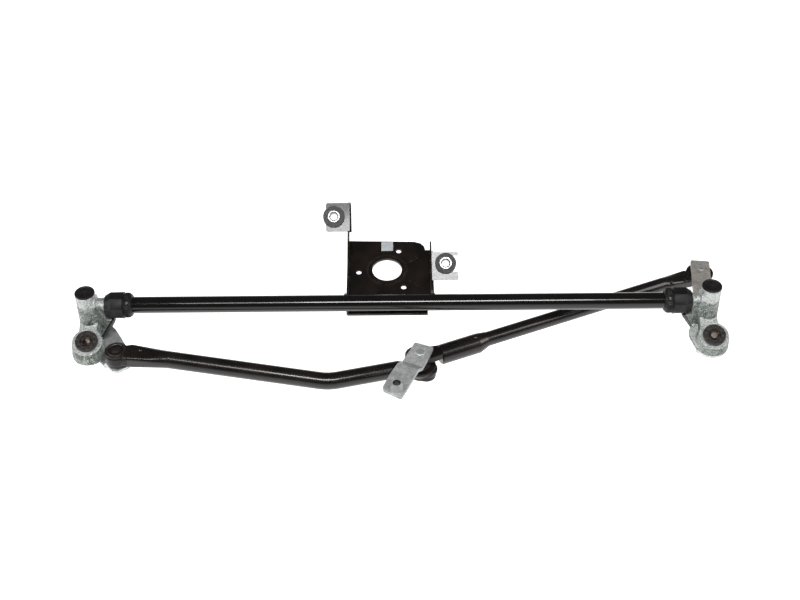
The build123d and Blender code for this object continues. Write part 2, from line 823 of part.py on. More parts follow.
def crank_stud_outline():
    """Head above the crank, then a small ball and a full-size ball below it."""
    ball_z = LOW_BALL[2]
    upper_root = RING[2] + UPPER_NECK_RISE
    lower_root = RING[2] - UPPER_NECK_RISE
    Polyline(
        (0, ball_z - BALL_R), (0, CRANK_TOP + 0.5), (5.0, CRANK_TOP + 0.5),
        (5.8, CRANK_TOP + GAP), (CRANK_SHANK_R, CRANK_TOP + GAP),
        (CRANK_SHANK_R, CRANK_LOW - GAP), (7.0, CRANK_LOW - GAP), (7.0, CRANK_LOW - 1.0),
        (UPPER_NECK_R, CRANK_LOW - 1.4), (UPPER_NECK_R, upper_root),
    )
    ThreePointArc(
        (UPPER_NECK_R, upper_root), (UPPER_BALL_R, RING[2]), (UPPER_NECK_R, lower_root)
    )
    Polyline(
        (UPPER_NECK_R, lower_root), (UPPER_NECK_R, lower_root - 0.6),
        (NECK_R, lower_root - 1.2), (NECK_R, ball_z + NECK_RISE),
    )
    ThreePointArc((NECK_R, ball_z + NECK_RISE), (BALL_R, ball_z), (0, ball_z - BALL_R))


# ------------------------------------------------------------------ crank arm
CRANK_RISE = 8.0
CRANK_HOLE = (-2.5, -120.2)  # motor shaft
CRANK_W = 36.0  # width of the strip before its outline is cut
CRANK_LEN, CRANK_ANGLE = plan_length_angle(PIN, CRANK_HOLE)
CRANK_TIP = CRANK_LEN + 13.2  # from the pin to the end of the plate
MOTOR_END_TOP = CRANK_TOP + CRANK_RISE
MOTOR_END_LOW = CRANK_LOW + CRANK_RISE

# side view: distance from the pin, z
CRANK_PROFILE = (
    (-13.5, CRANK_TOP), (23.0, CRANK_TOP), (35.0, MOTOR_END_TOP),
    (CRANK_TIP, MOTOR_END_TOP), (CRANK_TIP, MOTOR_END_LOW),
    (36.4, MOTOR_END_LOW), (24.4, CRANK_LOW), (-13.5, CRANK_LOW),
)
# plan, from the pin: along towards the motor hole, across towards -X;
# wider and cut at a slant at the motor end
CRANK_OUTLINE = (
    (-13.4, 12.6), (-13.4, -11.6), (20.0, -12.6), (53.0, -11.8),
    (CRANK_LEN + 12.9, -11.4), (CRANK_LEN + 8.8, 12.8), (CRANK_LEN + 4.8, 15.4),
    (55.0, 15.8), (37.0, 14.6), (15.0, 13.3),
)
ROUNDED_CORNERS = (0, 1, 4, 6)  # indices into the outline


def crank_arm():
    outline = plan_points(PIN, CRANK_ANGLE, CRANK_OUTLINE, turn=-1)
    corners = [outline[i] for i in ROUNDED_CORNERS]

    def from_pin(edge):
        """Distance of an edge's centre along the crank."""
        dx, dy = edge.center().X - PIN[0], edge.center().Y - PIN[1]
        return dx * cos_deg(CRANK_ANGLE) + dy * sin_deg(CRANK_ANGLE)

    def at_corner(edge):
        at = (edge.center().X, edge.center().Y)
        return min(math.dist(at, corner) for corner in corners) < 0.5

    with BuildPart() as crank:
        with BuildSketch(upright_plane(*PIN, CRANK_ANGLE)):
            with BuildLine():
                Polyline(*CRANK_PROFILE, close=True)
            make_face()
        extrude(amount=CRANK_W / 2, both=True)
        # bends of the joggle
        fillet(
            crank.edges().filter_by(
                lambda e: abs(e.length - CRANK_W) < 0.01 and 18.0 < from_pin(e) < 40
            ),
            5.0,
        )
        with BuildSketch(Plane.XY.offset(-60)):
            Polygon(*outline, align=None)
        extrude(amount=50, mode=Mode.INTERSECT)
        uprights = crank.edges().filter_by(Axis.Z)
        uprights = uprights.filter_by(lambda e: abs(e.length - LEVER_T) < 0.05)
        fillet(uprights.filter_by(at_corner), 2.4)
        # conical boss round the motor-shaft hole
        with BuildSketch(Plane.XY.offset(MOTOR_END_TOP - 0.01)):
            with Locations(CRANK_HOLE):
                Circle(9.0)
        extrude(amount=8.0, taper=21)
        with BuildSketch(Plane.XY.offset(-60)):
            with Locations(CRANK_HOLE):
                Circle(4.6)
            with Locations(PIN):
                Circle(CRANK_SHANK_R + GAP)
        extrude(amount=60, mode=Mode.SUBTRACT)
    save(crank, "crank_arm")


# ------------------------------------------------------------------- link rods
LEFT_ROD_R = 10.35
RIGHT_ROD_R = 8.9
ROD_WALL = 1.5
PRESSED_WALL = 1.3
SHANK_GAP = 0.6  # between a socket's shank and the pressed tube
SHANK_END = 32.0  # end of the lever sockets' shanks, from the aim point
CRANK_SHANK_START = 27.0  # round shank of the left rod's crank socket
CRANK_SHANK_END = 46.0
KINK = (-83.3, -80.0, -52.9)  # dog-leg of the left rod, near the crank
RIGHT_TUBE_START = 40.0  # from the eye's aim point

# Each rod's axis aims a little off the ball centres.
LEFT_AIM = (LEFT_BALL[0], LEFT_BALL[1], LEFT_BALL[2] + 4.5)
CRANK_AIM = (PIN[0], PIN[1] + 2.5, LOW_BALL[2] + 2.5)
RIGHT_AIM = (RIGHT_BALL[0], RIGHT_BALL[1], RIGHT_BALL[2] + 4.5)
EYE_AIM = (RING[0], RING[1], RING[2] - 6.5)

# The tube's pressed end grips the socket's shank.  Distances are from the aim
# point; drop is how far the pressed section sits below the axis, and tip is the
# (width, height, corner) at the end of the shank.
Pressed = namedtuple("Pressed", "width height corner drop start round_at tip")
LEFT_PRESSED = Pressed(
    width=27.0, height=17.0, corner=4.6, drop=2.5, start=15.2, round_at=62.0,
    tip=(20.6, 13.4, 3.4),
)
RIGHT_PRESSED = Pressed(
    width=23.0, height=14.0, corner=4.0, drop=3.4, start=17.8, round_at=54.0,
    tip=(15.6, 10.6, 2.8),
)
# what each of the two lofts of a pressed end does: inset, mode
PRESSED_LOFTS = ((0.0, 0.0, Mode.ADD), (PRESSED_WALL, ROD_WALL, Mode.SUBTRACT))


def direction(start, end):
    """Unit vector from start to end."""
    length = math.dist(start, end)
    return tuple((end[i] - start[i]) / length for i in range(3))


def point_along(point, heading, distance):
    return tuple(point[i] + distance * heading[i] for i in range(3))


def across_plane(point, heading, distance, drop=0.0):
    """Plane across a rod at distance; its x axis is horizontal, drop lowers it."""
    level = math.hypot(heading[0], heading[1])
    x, y, z = point_along(point, heading, distance)
    return Plane(
        origin=(x, y, z - drop),
        x_dir=(-heading[1] / level, heading[0] / level, 0),
        z_dir=heading,
    )


def inset_section(pressed, inset):
    """(width, height, corner) of the pressed section, inset all round."""
    return (pressed.width - 2 * inset, pressed.height - 2 * inset, pressed.corner - inset)


# headings from each end into its rod
LEFT_HEADING = direction(LEFT_AIM, KINK)
CRANK_HEADING = direction(CRANK_AIM, KINK)
RIGHT_HEADING = direction(RIGHT_AIM, EYE_AIM)
EYE_HEADING = direction(EYE_AIM, RIGHT_AIM)


def left_rod_tube():
    start = point_along(LEFT_AIM, LEFT_HEADING, LEFT_PRESSED.round_at)
    end = point_along(CRANK_AIM, CRANK_HEADING, CRANK_SHANK_START)
    pressed = LEFT_PRESSED
    with BuildPart() as tube:
        with BuildLine() as path:
            FilletPolyline(start, KINK, end, radius=60)
        with BuildSketch(Plane(origin=start, z_dir=LEFT_HEADING)):
            Circle(LEFT_ROD_R)
            Circle(LEFT_ROD_R - ROD_WALL, mode=Mode.SUBTRACT)
        sweep(path=path.wires()[0])
        for pressed_inset, round_inset, mode in PRESSED_LOFTS:
            with BuildSketch(across_plane(LEFT_AIM, LEFT_HEADING, pressed.start, pressed.drop)):
                RectangleRounded(*inset_section(pressed, pressed_inset))
            with BuildSketch(across_plane(LEFT_AIM, LEFT_HEADING, pressed.round_at)):
                Circle(LEFT_ROD_R - round_inset)
            loft(mode=mode)
        # punch mark on top
        x, y, z = point_along(LEFT_AIM, LEFT_HEADING, 29.0)
        with Locations((x, y, z + 9.15)):
            Sphere(3.1, mode=Mode.SUBTRACT)
    save(tube, "left_rod_tube")


def right_rod_tube():
    start = point_along(EYE_AIM, EYE_HEADING, RIGHT_TUBE_START)
    pressed = RIGHT_PRESSED
    with BuildPart() as tube:
        with BuildSketch(Plane(origin=start, z_dir=EYE_HEADING)):
            Circle(RIGHT_ROD_R)
            Circle(RIGHT_ROD_R - ROD_WALL, mode=Mode.SUBTRACT)
        extrude(amount=math.dist(EYE_AIM, RIGHT_AIM) - RIGHT_TUBE_START - pressed.round_at)
        for pressed_inset, round_inset, mode in PRESSED_LOFTS:
            with BuildSketch(
                across_plane(RIGHT_AIM, RIGHT_HEADING, pressed.start, pressed.drop)
            ):
                RectangleRounded(*inset_section(pressed, pressed_inset))
            with BuildSketch(across_plane(RIGHT_AIM, RIGHT_HEADING, pressed.round_at)):
                Circle(RIGHT_ROD_R - round_inset)
            loft(mode=mode)
        # punch marks on the side that faces up and forwards
        reach = 11.0  # from the axis to the centre of the punch
        for distance, lowering in ((42.7, 0.9), (24.5, 2.6)):
            x, y, z = point_along(RIGHT_AIM, RIGHT_HEADING, distance)
            with Locations((x, y - reach * 0.749, z + reach * 0.663 - lowering)):
                Sphere(2.9, mode=Mode.SUBTRACT)
    save(tube, "right_rod_tube")


# ---------------------------------------------------------------- ball sockets
def socket(name, ball, aim, heading, opens, foot_r, cap_r, block, pressed=None, webs=()):
    """Moulded ball cup with a shank that enters the rod's tube.

    opens is -1 when the ball enters from below and +1 when it enters from above.
    block is the (width, height) where the block to the shank leaves the cup.
    The shank fits the pressed end, or is round if pressed is None.
    webs are rows of (dx, dy, radius, z0, z1) from the ball's centre."""
    x, y, z = ball
    block_w, block_h = block
    block_corner = block_h / 2 - 0.6
    with BuildPart() as cup:
        if opens < 0:
            # round body with a wider band
            with BuildSketch(Plane.XY.offset(z - 8.4)):
                with Locations((x, y)):
                    Circle(foot_r)
            extrude(amount=17.0)
            with BuildSketch(Plane.XY.offset(z - 5.0)):
                with Locations((x, y)):
                    Circle(cap_r)
            extrude(amount=10.0)
        else:
            # body that widens to its open rim
            with BuildSketch(upright_plane(x, y)):
                with BuildLine():
                    Polyline(
                        (0, z - 9.4), (foot_r - 1.2, z - 9.4), (foot_r, z - 8.4),
                        (foot_r + 1.0, z - 4.0), (cap_r - 0.6, z + 2.2), (cap_r, z + 3.4),
                        (cap_r, z + 6.2), (cap_r - 0.8, z + 7.0), (0, z + 7.0), close=True,
                    )
                make_face()
            revolve(axis=Axis((x, y, 0), (0, 0, 1)))
        if pressed:
            # block up to the rod's pressed end, then a shank inside it
            with BuildSketch(across_plane(aim, heading, 4.0, pressed.drop + 1.0)):
                RectangleRounded(block_w, block_h, block_corner)
            with BuildSketch(across_plane(aim, heading, pressed.start - GAP, pressed.drop)):
                RectangleRounded(*inset_section(pressed, 0.3))
            loft()
            shank_inset = PRESSED_WALL + SHANK_GAP
            with BuildSketch(across_plane(aim, heading, pressed.start - 0.5, pressed.drop)):
                RectangleRounded(
                    pressed.width - 2 * shank_inset,
                    pressed.height - 2 * shank_inset,
                    pressed.corner - PRESSED_WALL - SHANK_GAP / 2,
                )
            # the drop fades out towards the round part of the tube
            fade = (pressed.round_at - SHANK_END) / (pressed.round_at - pressed.start)
            with BuildSketch(across_plane(aim, heading, SHANK_END, pressed.drop * fade)):
                RectangleRounded(*pressed.tip)
            loft()
        else:
            # tapering block to the round tube's end, then the round shank
            with BuildSketch(across_plane(ball, heading, 4.0)):
                RectangleRounded(block_w, block_h, block_corner)
            with BuildSketch(across_plane(aim, heading, CRANK_SHANK_START)):
                Circle(LEFT_ROD_R)
            loft()
            with BuildSketch(across_plane(aim, heading, CRANK_SHANK_START)):
                Circle(LEFT_ROD_R - ROD_WALL - 0.03)
            extrude(amount=CRANK_SHANK_END - CRANK_SHANK_START)
        for dx, dy, radius, z0, z1 in webs:
            # thick web on one side of the cup
            with BuildSketch(Plane.XY.offset(z + z0)):
                with Locations((x, y)):
                    Circle(foot_r)
                with Locations((x + dx, y + dy)):
                    Circle(radius)
                make_hull()
            extrude(amount=z1 - z0)
        if opens < 0:
            # lid over the ball
            with BuildSketch(Plane.XY.offset(z + 8.0)):
                with Locations((x, y)):
                    Circle(12.6)
            extrude(amount=0.9, taper=40)
        # ball cavity and its mouth
        with Locations((x, y, z)):
            Sphere(BALL_R + BALL_CLEAR, mode=Mode.SUBTRACT)
        with BuildSketch(Plane.XY.offset(z)):
            with Locations((x, y)):
                Circle(6.9)
        extrude(amount=14 * opens, mode=Mode.SUBTRACT)
    save(cup, name)


def rod_sockets():
    socket(
        "left_rod_lever_socket", LEFT_BALL, LEFT_AIM, LEFT_HEADING,
        opens=-1, foot_r=13.4, cap_r=14.4, block=(25.0, 13.0), pressed=LEFT_PRESSED,
    )
    socket(
        "left_rod_crank_socket", LOW_BALL, CRANK_AIM, CRANK_HEADING,
        opens=1, foot_r=13.5, cap_r=18.6, block=(25.6, 6.8),
        webs=((8.0, -3.6, 12.3, 0.0, 4.6), (7.2, -4.2, 11.4, -7.9, 0.1)),
    )
    socket(
        "right_rod_lever_socket", RIGHT_BALL, RIGHT_AIM, RIGHT_HEADING,
        opens=1, foot_r=13.0, cap_r=17.2, block=(21.0, 8.6), pressed=RIGHT_PRESSED,
    )


# ------------------------------------------------- crank end of the right rod
SLEEVE_R = 12.25
SLEEVE_DROP = 2.0  # the sleeve sits a little below the axis of its rod
SLEEVE_START = 29.0  # distances from the eye's aim point
SWAGE_START = 80.0
SWAGE_END = 91.0
RING_IN = 13.0
RING_OUT = 14.6
RING_H = 8.4
# from the eye's centre: along the rod, across
TONGUE_OUTLINE = ((4, -13.4), (30, -11.4), (30, 5.0), (15, 8.2), (4, 13.2))


def right_rod_sleeve():
    """Thick sleeve over the crank end of the tube, swaged down onto it."""
    with BuildPart() as sleeve:
        with BuildSketch(across_plane(EYE_AIM, EYE_HEADING, SLEEVE_START, SLEEVE_DROP)):
            Circle(SLEEVE_R)
        extrude(amount=SWAGE_START - SLEEVE_START)
        chamfer(sleeve.faces().sort_by(Axis.X)[0].edges(), 1.6)
        with BuildSketch(across_plane(EYE_AIM, EYE_HEADING, SWAGE_START, SLEEVE_DROP)):
            Circle(SLEEVE_R)
        with BuildSketch(across_plane(EYE_AIM, EYE_HEADING, SWAGE_END)):
            Circle(RIGHT_ROD_R + 0.5)
        loft()
        bore_start = point_along(EYE_AIM, EYE_HEADING, 38.0)
        with BuildSketch(Plane(origin=bore_start, z_dir=EYE_HEADING)):
            Circle(RIGHT_ROD_R + 0.03)
        extrude(amount=60.0, mode=Mode.SUBTRACT)
        # punch mark on top, leaning a little forwards
        x, y, z = point_along(EYE_AIM, EYE_HEADING, 76.5)
        reach = SLEEVE_R + 2.0
        lean = 12.0
        with Locations((x, y - reach * sin_deg(lean), z - SLEEVE_DROP + reach * cos_deg(lean))):
            Sphere(3.1, mode=Mode.SUBTRACT)
    save(sleeve, "right_rod_sleeve")


def right_rod_crank_eye():
    """Flattened tongue from the sleeve, and the wide eye round the crank's ball."""
    rod_angle = math.degrees(math.atan2(EYE_HEADING[1], EYE_HEADING[0]))
    tongue_end = point_along(EYE_AIM, EYE_HEADING, SLEEVE_START - 0.1)
    with BuildPart() as eye:
        with BuildSketch(Plane.XY.offset(RING[2] - RING_H / 2)):
            with Locations(RING[:2]):
                Circle(RING_OUT)
            with Locations(Location(RING[:2], rod_angle)):
                Polygon(*TONGUE_OUTLINE, align=None)
        extrude(amount=RING_H)
        split(bisect_by=Plane(origin=tongue_end, z_dir=EYE_HEADING), keep=Keep.BOTTOM)
        with BuildSketch(Plane.XY.offset(RING[2] - 10)):
            with Locations(RING[:2]):
                Circle(RING_IN)
        extrude(amount=20.0, mode=Mode.SUBTRACT)
    save(eye, "right_rod_crank_eye")


# ------------------------------------------------------------------ dust boots
def boot(name, xy, z0, z1, lower_r, upper_r):
    """Waisted boot round a stud's neck, between z0 and z1."""
    inner_r = NECK_R + 0.15
    height = z1 - z0
    outline = (
        (inner_r, z0),
        (lower_r, z0),
        (lower_r + 0.6, z0 + 0.25 * height),
        (lower_r - 1.2, z0 + 0.5 * height),
        (upper_r + 0.4, z0 + 0.75 * height),
        (upper_r, z1),
        (inner_r, z1),
    )
    revolved(name, xy, lambda: Polyline(*outline, close=True))


# ------------------------------------------------------------- build everything
main_tube()
tube_lock_pins()
for side in SIDES:
    pivot_housing(side)
    tube_collar(side)
    ear_mount(side)
    barrel_fittings(side)

motor_bracket()
bracket_weld_beads()
bracket_label()
bracket_mounts()

left_lever()
right_lever()
crank_arm()
revolved("left_ball_stud", LEFT_BALL[:2], left_stud_outline)
revolved("right_ball_stud", RIGHT_BALL[:2], right_stud_outline)
revolved("crank_ball_stud", PIN, crank_stud_outline)

left_rod_tube()
right_rod_tube()
rod_sockets()
right_rod_sleeve()
right_rod_crank_eye()
boot("left_rod_lever_boot", LEFT_BALL[:2], -41.7, -38.92, lower_r=9.0, upper_r=11.5)
boot(
    "left_rod_crank_boot", PIN, LOW_BALL[2] + 7.02, LOW_BALL[2] + 9.9,
    lower_r=11.5, upper_r=9.5,
)
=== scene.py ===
"""Rod linkage on a tube frame.

The black main tube lies along X, with the motor bracket behind it (+Y) and a cast pivot housing
with an upright barrel at each end. Left is -X, the front is -Y and up is +Z. Lengths of pieces
are in mm from the middle of the tube's axis; the frame's own origin is the motor's boss hole.
Materials, lights and camera are in metres.
"""
import json
import math
from functools import cached_property

import bmesh
import bpy
from mathutils import Matrix, Vector, noise


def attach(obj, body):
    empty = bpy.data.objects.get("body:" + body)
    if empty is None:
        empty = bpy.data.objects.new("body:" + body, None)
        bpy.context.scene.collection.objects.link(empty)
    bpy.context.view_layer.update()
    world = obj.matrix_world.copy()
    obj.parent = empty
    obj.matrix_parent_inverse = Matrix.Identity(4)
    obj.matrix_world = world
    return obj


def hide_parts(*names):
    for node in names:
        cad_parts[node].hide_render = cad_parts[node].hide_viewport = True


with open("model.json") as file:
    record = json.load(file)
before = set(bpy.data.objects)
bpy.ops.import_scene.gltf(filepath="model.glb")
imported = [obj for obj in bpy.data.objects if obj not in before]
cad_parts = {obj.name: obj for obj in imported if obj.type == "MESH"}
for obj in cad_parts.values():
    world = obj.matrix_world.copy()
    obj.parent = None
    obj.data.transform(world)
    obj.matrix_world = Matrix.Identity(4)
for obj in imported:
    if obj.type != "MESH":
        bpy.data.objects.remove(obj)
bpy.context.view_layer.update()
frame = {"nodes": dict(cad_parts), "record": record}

NODES = frame["nodes"]
SLOT = {part["node"]: part["material_slot"] for part in frame["record"]["subparts"]}
scene = bpy.context.scene

# ------------------------------------------------------------ driving dimensions
MM = 0.001
PLATE_TILT = math.radians(7.5)
HOLE_ALONG, HOLE_BELOW = 62.4, 10.52    # boss hole, along and below the tilted plate
ORIGIN = Vector((-13.6,
                 HOLE_ALONG * math.cos(PLATE_TILT) + HOLE_BELOW * math.sin(PLATE_TILT),
                 HOLE_ALONG * math.sin(PLATE_TILT) - HOLE_BELOW * math.cos(PLATE_TILT)))
ORIGIN_M = ORIGIN * MM


def leaning(degrees):
    """Upward normal leaned towards the front."""
    tilt = math.radians(degrees)
    return Vector((0, -math.sin(tilt), math.cos(tilt)))


UP = (0, 0, 1)
HOUSING_EAR_NORMAL = leaning(22.0)
BRACKET_EAR_NORMAL = leaning(42.0)
HOUSING_EARS = {"left": (-373.2, -32.5, -30.0), "right": (377.4, -32.5, -28.5)}
# side: (centre, grommet radius)
BRACKET_EARS = {"left": ((-79.3, 115.0, 41.7), 13.45), "right": ((58.5, 60.0, 10.6), 13.0)}
BARREL_X = 373.3
# side: (x of the barrel, how far its cap sits down)
BARRELS = {"left": (-BARREL_X, 2.4), "right": (BARREL_X, 0.0)}
BEAD_RADIUS = 10.4          # centre line of a weld bead round the tube
LEFT_SOCKET = (-333.4, -54.9, 0)
CRANK_SOCKET = (25.8, -53.4, 0)


# --------------------------------------------------------------- shader helpers
class Shader:
    """A node tree with short ways to add nodes."""

    def __init__(self, owner, output="OutputMaterial"):
        owner.use_nodes = True
        self.owner = owner
        self.tree = owner.node_tree
        self.tree.nodes.clear()
        self.out = self.node(output, {})

    def node(self, kind, inputs, **settings):
        node = self.tree.nodes.new("ShaderNode" + kind)
        for setting, value in settings.items():
            setattr(node, setting, value)
        for key, value in inputs.items():
            self.put(node.inputs[key], value)
        return node

    def put(self, socket, value):
        if isinstance(value, bpy.types.NodeSocket):
            self.tree.links.new(value, socket)
        elif socket.type == "RGBA":
            socket.default_value = (*value, 1)
        else:
            socket.default_value = value

    def surface(self, shader):
        self.put(self.out.inputs[0], shader.outputs[0])
        return self.owner

    def finish(self, **inputs):
        """Closes the tree with a Principled shader and returns the material."""
        named = {key.replace("_", " "): value for key, value in inputs.items()}
        return self.surface(self.node("BsdfPrincipled", named))

    @cached_property
    def point(self):
        return self.node("TexCoord", {}).outputs["Object"]

    def place(self):
        """x, y, z of the point in metres, in the frame's own axes."""
        return self.node("SeparateXYZ", {0: self.point}).outputs

    def updown(self):
        """z of the world normal, from -1 to 1."""
        normal = self.node("NewGeometry", {}).outputs["Normal"]
        return self.node("SeparateXYZ", {0: normal}).outputs[2]

    def noise(self, scale=1.0, detail=4, rough=0.55, stretch=None):
        where = self.point
        if stretch:
            where = self.node("Mapping", {"Vector": where, "Scale": stretch}).outputs[0]
        return self.node("TexNoise", {"Scale": scale, "Detail": detail, "Roughness": rough,
                                      "Vector": where}).outputs[0]

    def cells(self, scale, output="Distance"):
        return self.node("TexVoronoi", {"Scale": scale, "Vector": self.point}).outputs[output]

    def ramp(self, value, low, high, start=0.0, end=1.0):
        """Runs from start to end as value goes from low to high."""
        node = self.node("ValToRGB", {0: value})
        for element, position, grey in zip(node.color_ramp.elements, (low, high), (start, end)):
            element.position = position
            element.color = (grey, grey, grey, 1)
        return node.outputs[0]

    def mask(self, low, high, start=0.0, end=1.0, **texture):
        """Noise passed through a ramp."""
        return self.ramp(self.noise(**texture), low, high, start, end)

    def roughness(self, texture, limits):
        return self.ramp(texture, 0.3, 0.7, *limits)

    def mix(self, amount, under, over):
        # 0, 6, 7 and output 2 are the colour sockets of a Mix node
        return self.node("Mix", {0: amount, 6: under, 7: over}, data_type="RGBA").outputs[2]

    def paint(self, under, over, mask, strength):
        return self.mix(self.times(mask, strength), under, over)

    def math(self, operation, first, second=0.0, third=None):
        inputs = {0: first, 1: second}
        if third is not None:
            inputs[2] = third
        return self.node("Math", inputs, operation=operation).outputs[0]

    def times(self, first, second):
        return self.math("MULTIPLY", first, second)

    def below(self, value, limit):
        return self.math("LESS_THAN", value, limit)

    def above(self, value, limit):
        return self.math("GREATER_THAN", value, limit)

    def length(self, x, y):
        return self.math("SQRT", self.math("ADD", self.times(x, x), self.times(y, y)))

    def bump(self, height, strength, distance, under=None):
        inputs = {"Strength": strength, "Distance": distance, "Height": height}
        if under is not None:
            inputs["Normal"] = under
        return self.node("Bump", inputs).outputs[0]

    def edges(self, radius, low, high):
        """0 on flats, 1 on outer and inner edges."""
        bevel = self.node("Bevel", {"Radius": radius}, samples=4)
        flat = self.node("NewGeometry", {}).outputs["Normal"]
        dot = self.node("VectorMath", {0: bevel.outputs[0], 1: flat}, operation="DOT_PRODUCT")
        return self.ramp(self.math("SUBTRACT", 1.0, dot.outputs["Value"]), low, high)


def new_shader(name):
    return Shader(bpy.data.materials.new(name))


def scaled(colour, factor):
    return tuple(min(1, channel * factor) for channel in colour)


# -------------------------------------------------------------------- materials
def enamel(name, base, brown, rough, coat, dust, peel=1.0, edge_strength=0.5,
           edge_colour=(0.12, 0.105, 0.09), ring=None):
    """Gloss black paint with orange peel, sparse dust and paler edges: the paint rubbing off, and,
    with a pale edge colour as on the bracket and the welds, also a painted edge highlight.

    ring: (inner, outer) radius in metres of a mark round the motor's boss hole.
    """
    mat = new_shader(name)
    # mottled tone; the welds' pale mottling is a painted highlight
    colour = mat.mix(mat.mask(low=0.40, high=0.72, scale=34, detail=5, rough=0.6), base, brown)
    specks = mat.mask(low=0.66, high=0.80, scale=1500, detail=3, rough=0.7)
    colour = mat.paint(colour, (0.10, 0.09, 0.08), mask=specks, strength=dust)
    smears = mat.mask(low=0.58, high=0.80, detail=5, rough=0.6, stretch=(60, 210, 120))
    colour = mat.paint(colour, (0.075, 0.062, 0.050), mask=smears, strength=dust * 0.8)
    if ring:
        x, y, _ = mat.place()
        distance = mat.length(x, y)
        band = mat.times(mat.above(distance, ring[0]), mat.below(distance, ring[1]))
        band = mat.times(band, mat.mask(low=0.35, high=0.65, start=0.1, end=0.9,
                                        scale=90, detail=4, rough=0.6))
        colour = mat.paint(colour, (0.040, 0.028, 0.021), mask=band, strength=0.75)
    # paler edges: the paint rubbing off, and with a pale edge colour also a painted edge highlight
    pale_edge_mask = mat.times(mat.edges(radius=0.0005, low=0.03, high=0.3),
                     mat.mask(low=0.45, high=0.66, scale=260, detail=4, rough=0.7))
    colour = mat.paint(colour, edge_colour, mask=pale_edge_mask, strength=edge_strength)
    fine = mat.bump(mat.noise(scale=620, detail=2, rough=0.5),
                    strength=0.12 * peel, distance=0.0002)
    normal = mat.bump(mat.noise(scale=95, detail=3, rough=0.5),
                      strength=0.07 * peel, distance=0.0014, under=fine)
    gloss = mat.roughness(mat.noise(scale=420, detail=6, rough=0.65), rough)
    return mat.finish(Base_Color=colour, Roughness=gloss, Normal=normal, Coat_Weight=coat,
                      Coat_Roughness=0.05, Coat_IOR=1.45, IOR=1.42)


def gusset_shade(mat):
    """1 along the gusset's diagonal edge, which is in its own shade."""
    # the edge line passes through (|x|, z) = (line_x, -line_drop)
    line_x, line_drop = 0.342, 0.0222
    normal_x, normal_z = 0.860, 0.512
    depth = 0.0062                              # reach of the shade past the line
    y_min, x_max, z_max = -0.0115, 0.361, -0.0160
    x, y, z = mat.place()
    x = mat.math("ABSOLUTE", mat.math("ADD", x, ORIGIN.x * MM))
    y = mat.math("ADD", y, ORIGIN.y * MM)
    z = mat.math("ADD", z, ORIGIN.z * MM)
    past = mat.math("ADD", mat.times(mat.math("SUBTRACT", x, line_x), normal_x),
                    mat.times(mat.math("ADD", z, line_drop), normal_z))
    return mat.times(mat.times(mat.below(past, depth), mat.above(y, y_min)),
                     mat.times(mat.below(x, x_max), mat.below(z, z_max)))


def casting(name):
    """Raw die-cast zinc: grey-green grain, painted highlights on tops, rims and faces that lean a
    little downwards, and painted shade underneath.
    """
    tint = (0.255, 0.285, 0.262)
    mat = new_shader(name)
    blotch = mat.noise(scale=85, detail=6, rough=0.7)
    grain = mat.noise(scale=520, detail=5, rough=0.80)
    colour = mat.mix(mat.ramp(blotch, low=0.40, high=0.60), scaled(tint, 0.36), scaled(tint, 1.75))
    stain = mat.mask(low=0.44, high=0.60, scale=40, detail=3, rough=0.5)
    colour = mat.paint(colour, (0.085, 0.100, 0.075), mask=stain, strength=0.45)

    facing = mat.updown()
    # painted highlight on faces that point upwards
    top = mat.ramp(facing, low=0.34, high=0.80)
    # faces that lean a little downwards get a painted highlight
    lean_min, lean_max = -0.44, -0.20
    downward_side_highlight = mat.times(mat.below(facing, lean_max), mat.above(facing, lean_min))
    # painted highlight above a wavy level
    level, wave, steepness = 0.0023, 0.012, 50.0
    height = mat.math("SUBTRACT", mat.place()[2], level)
    ripple = mat.math("SUBTRACT", mat.noise(scale=120, detail=4, rough=0.6), 0.5)
    height = mat.math("ADD", height, mat.times(ripple, wave))
    band = mat.ramp(mat.times(height, steepness), low=0.16, high=0.30)
    top_strength, band_strength = 0.80, 0.88
    # painted highlights: the upward faces and the band above the wavy level
    bright = mat.math("MAXIMUM", mat.times(top, top_strength), 0.0)
    bright = mat.math("MAXIMUM", bright, mat.times(band, band_strength))
    colour = mat.mix(bright, colour, (0.70, 0.73, 0.71))
    colour = mat.paint(colour, (0.98, 0.99, 0.98), mask=downward_side_highlight, strength=0.85)

    pitted = mat.mix(0.66, under=colour, over=(0.020, 0.026, 0.021))
    colour = mat.mix(mat.ramp(grain, low=0.41, high=0.53), pitted, colour)
    glints = mat.mask(low=0.57, high=0.67, end=0.8, scale=900, detail=2, rough=0.5)
    colour = mat.mix(glints, colour, (0.88, 0.90, 0.88))

    # painted shade on faces that point downwards and along the gusset's diagonal edge
    under = mat.ramp(mat.times(facing, -1.0), low=0.46, high=0.62)
    under = mat.math("MAXIMUM", under, gusset_shade(mat))
    colour = mat.paint(colour, (0.010, 0.010, 0.009), mask=under, strength=0.94)
    # painted highlight along the rims, left out where shade is painted
    rims = mat.times(mat.edges(radius=0.0010, low=0.015, high=0.18),
                     mat.math("SUBTRACT", 1.0, under))
    colour = mat.paint(colour, (0.95, 0.96, 0.95), mask=rims, strength=0.70)

    relief = mat.mix(0.5, under=mat.noise(scale=400, detail=5, rough=0.72),
                     over=mat.cells(scale=720))
    normal = mat.bump(relief, strength=0.70, distance=0.0010,
                      under=mat.bump(blotch, strength=0.45, distance=0.0022))
    return mat.finish(Base_Color=colour, Metallic=0.5, Normal=normal,
                      Roughness=mat.roughness(grain, (0.26, 0.46)))


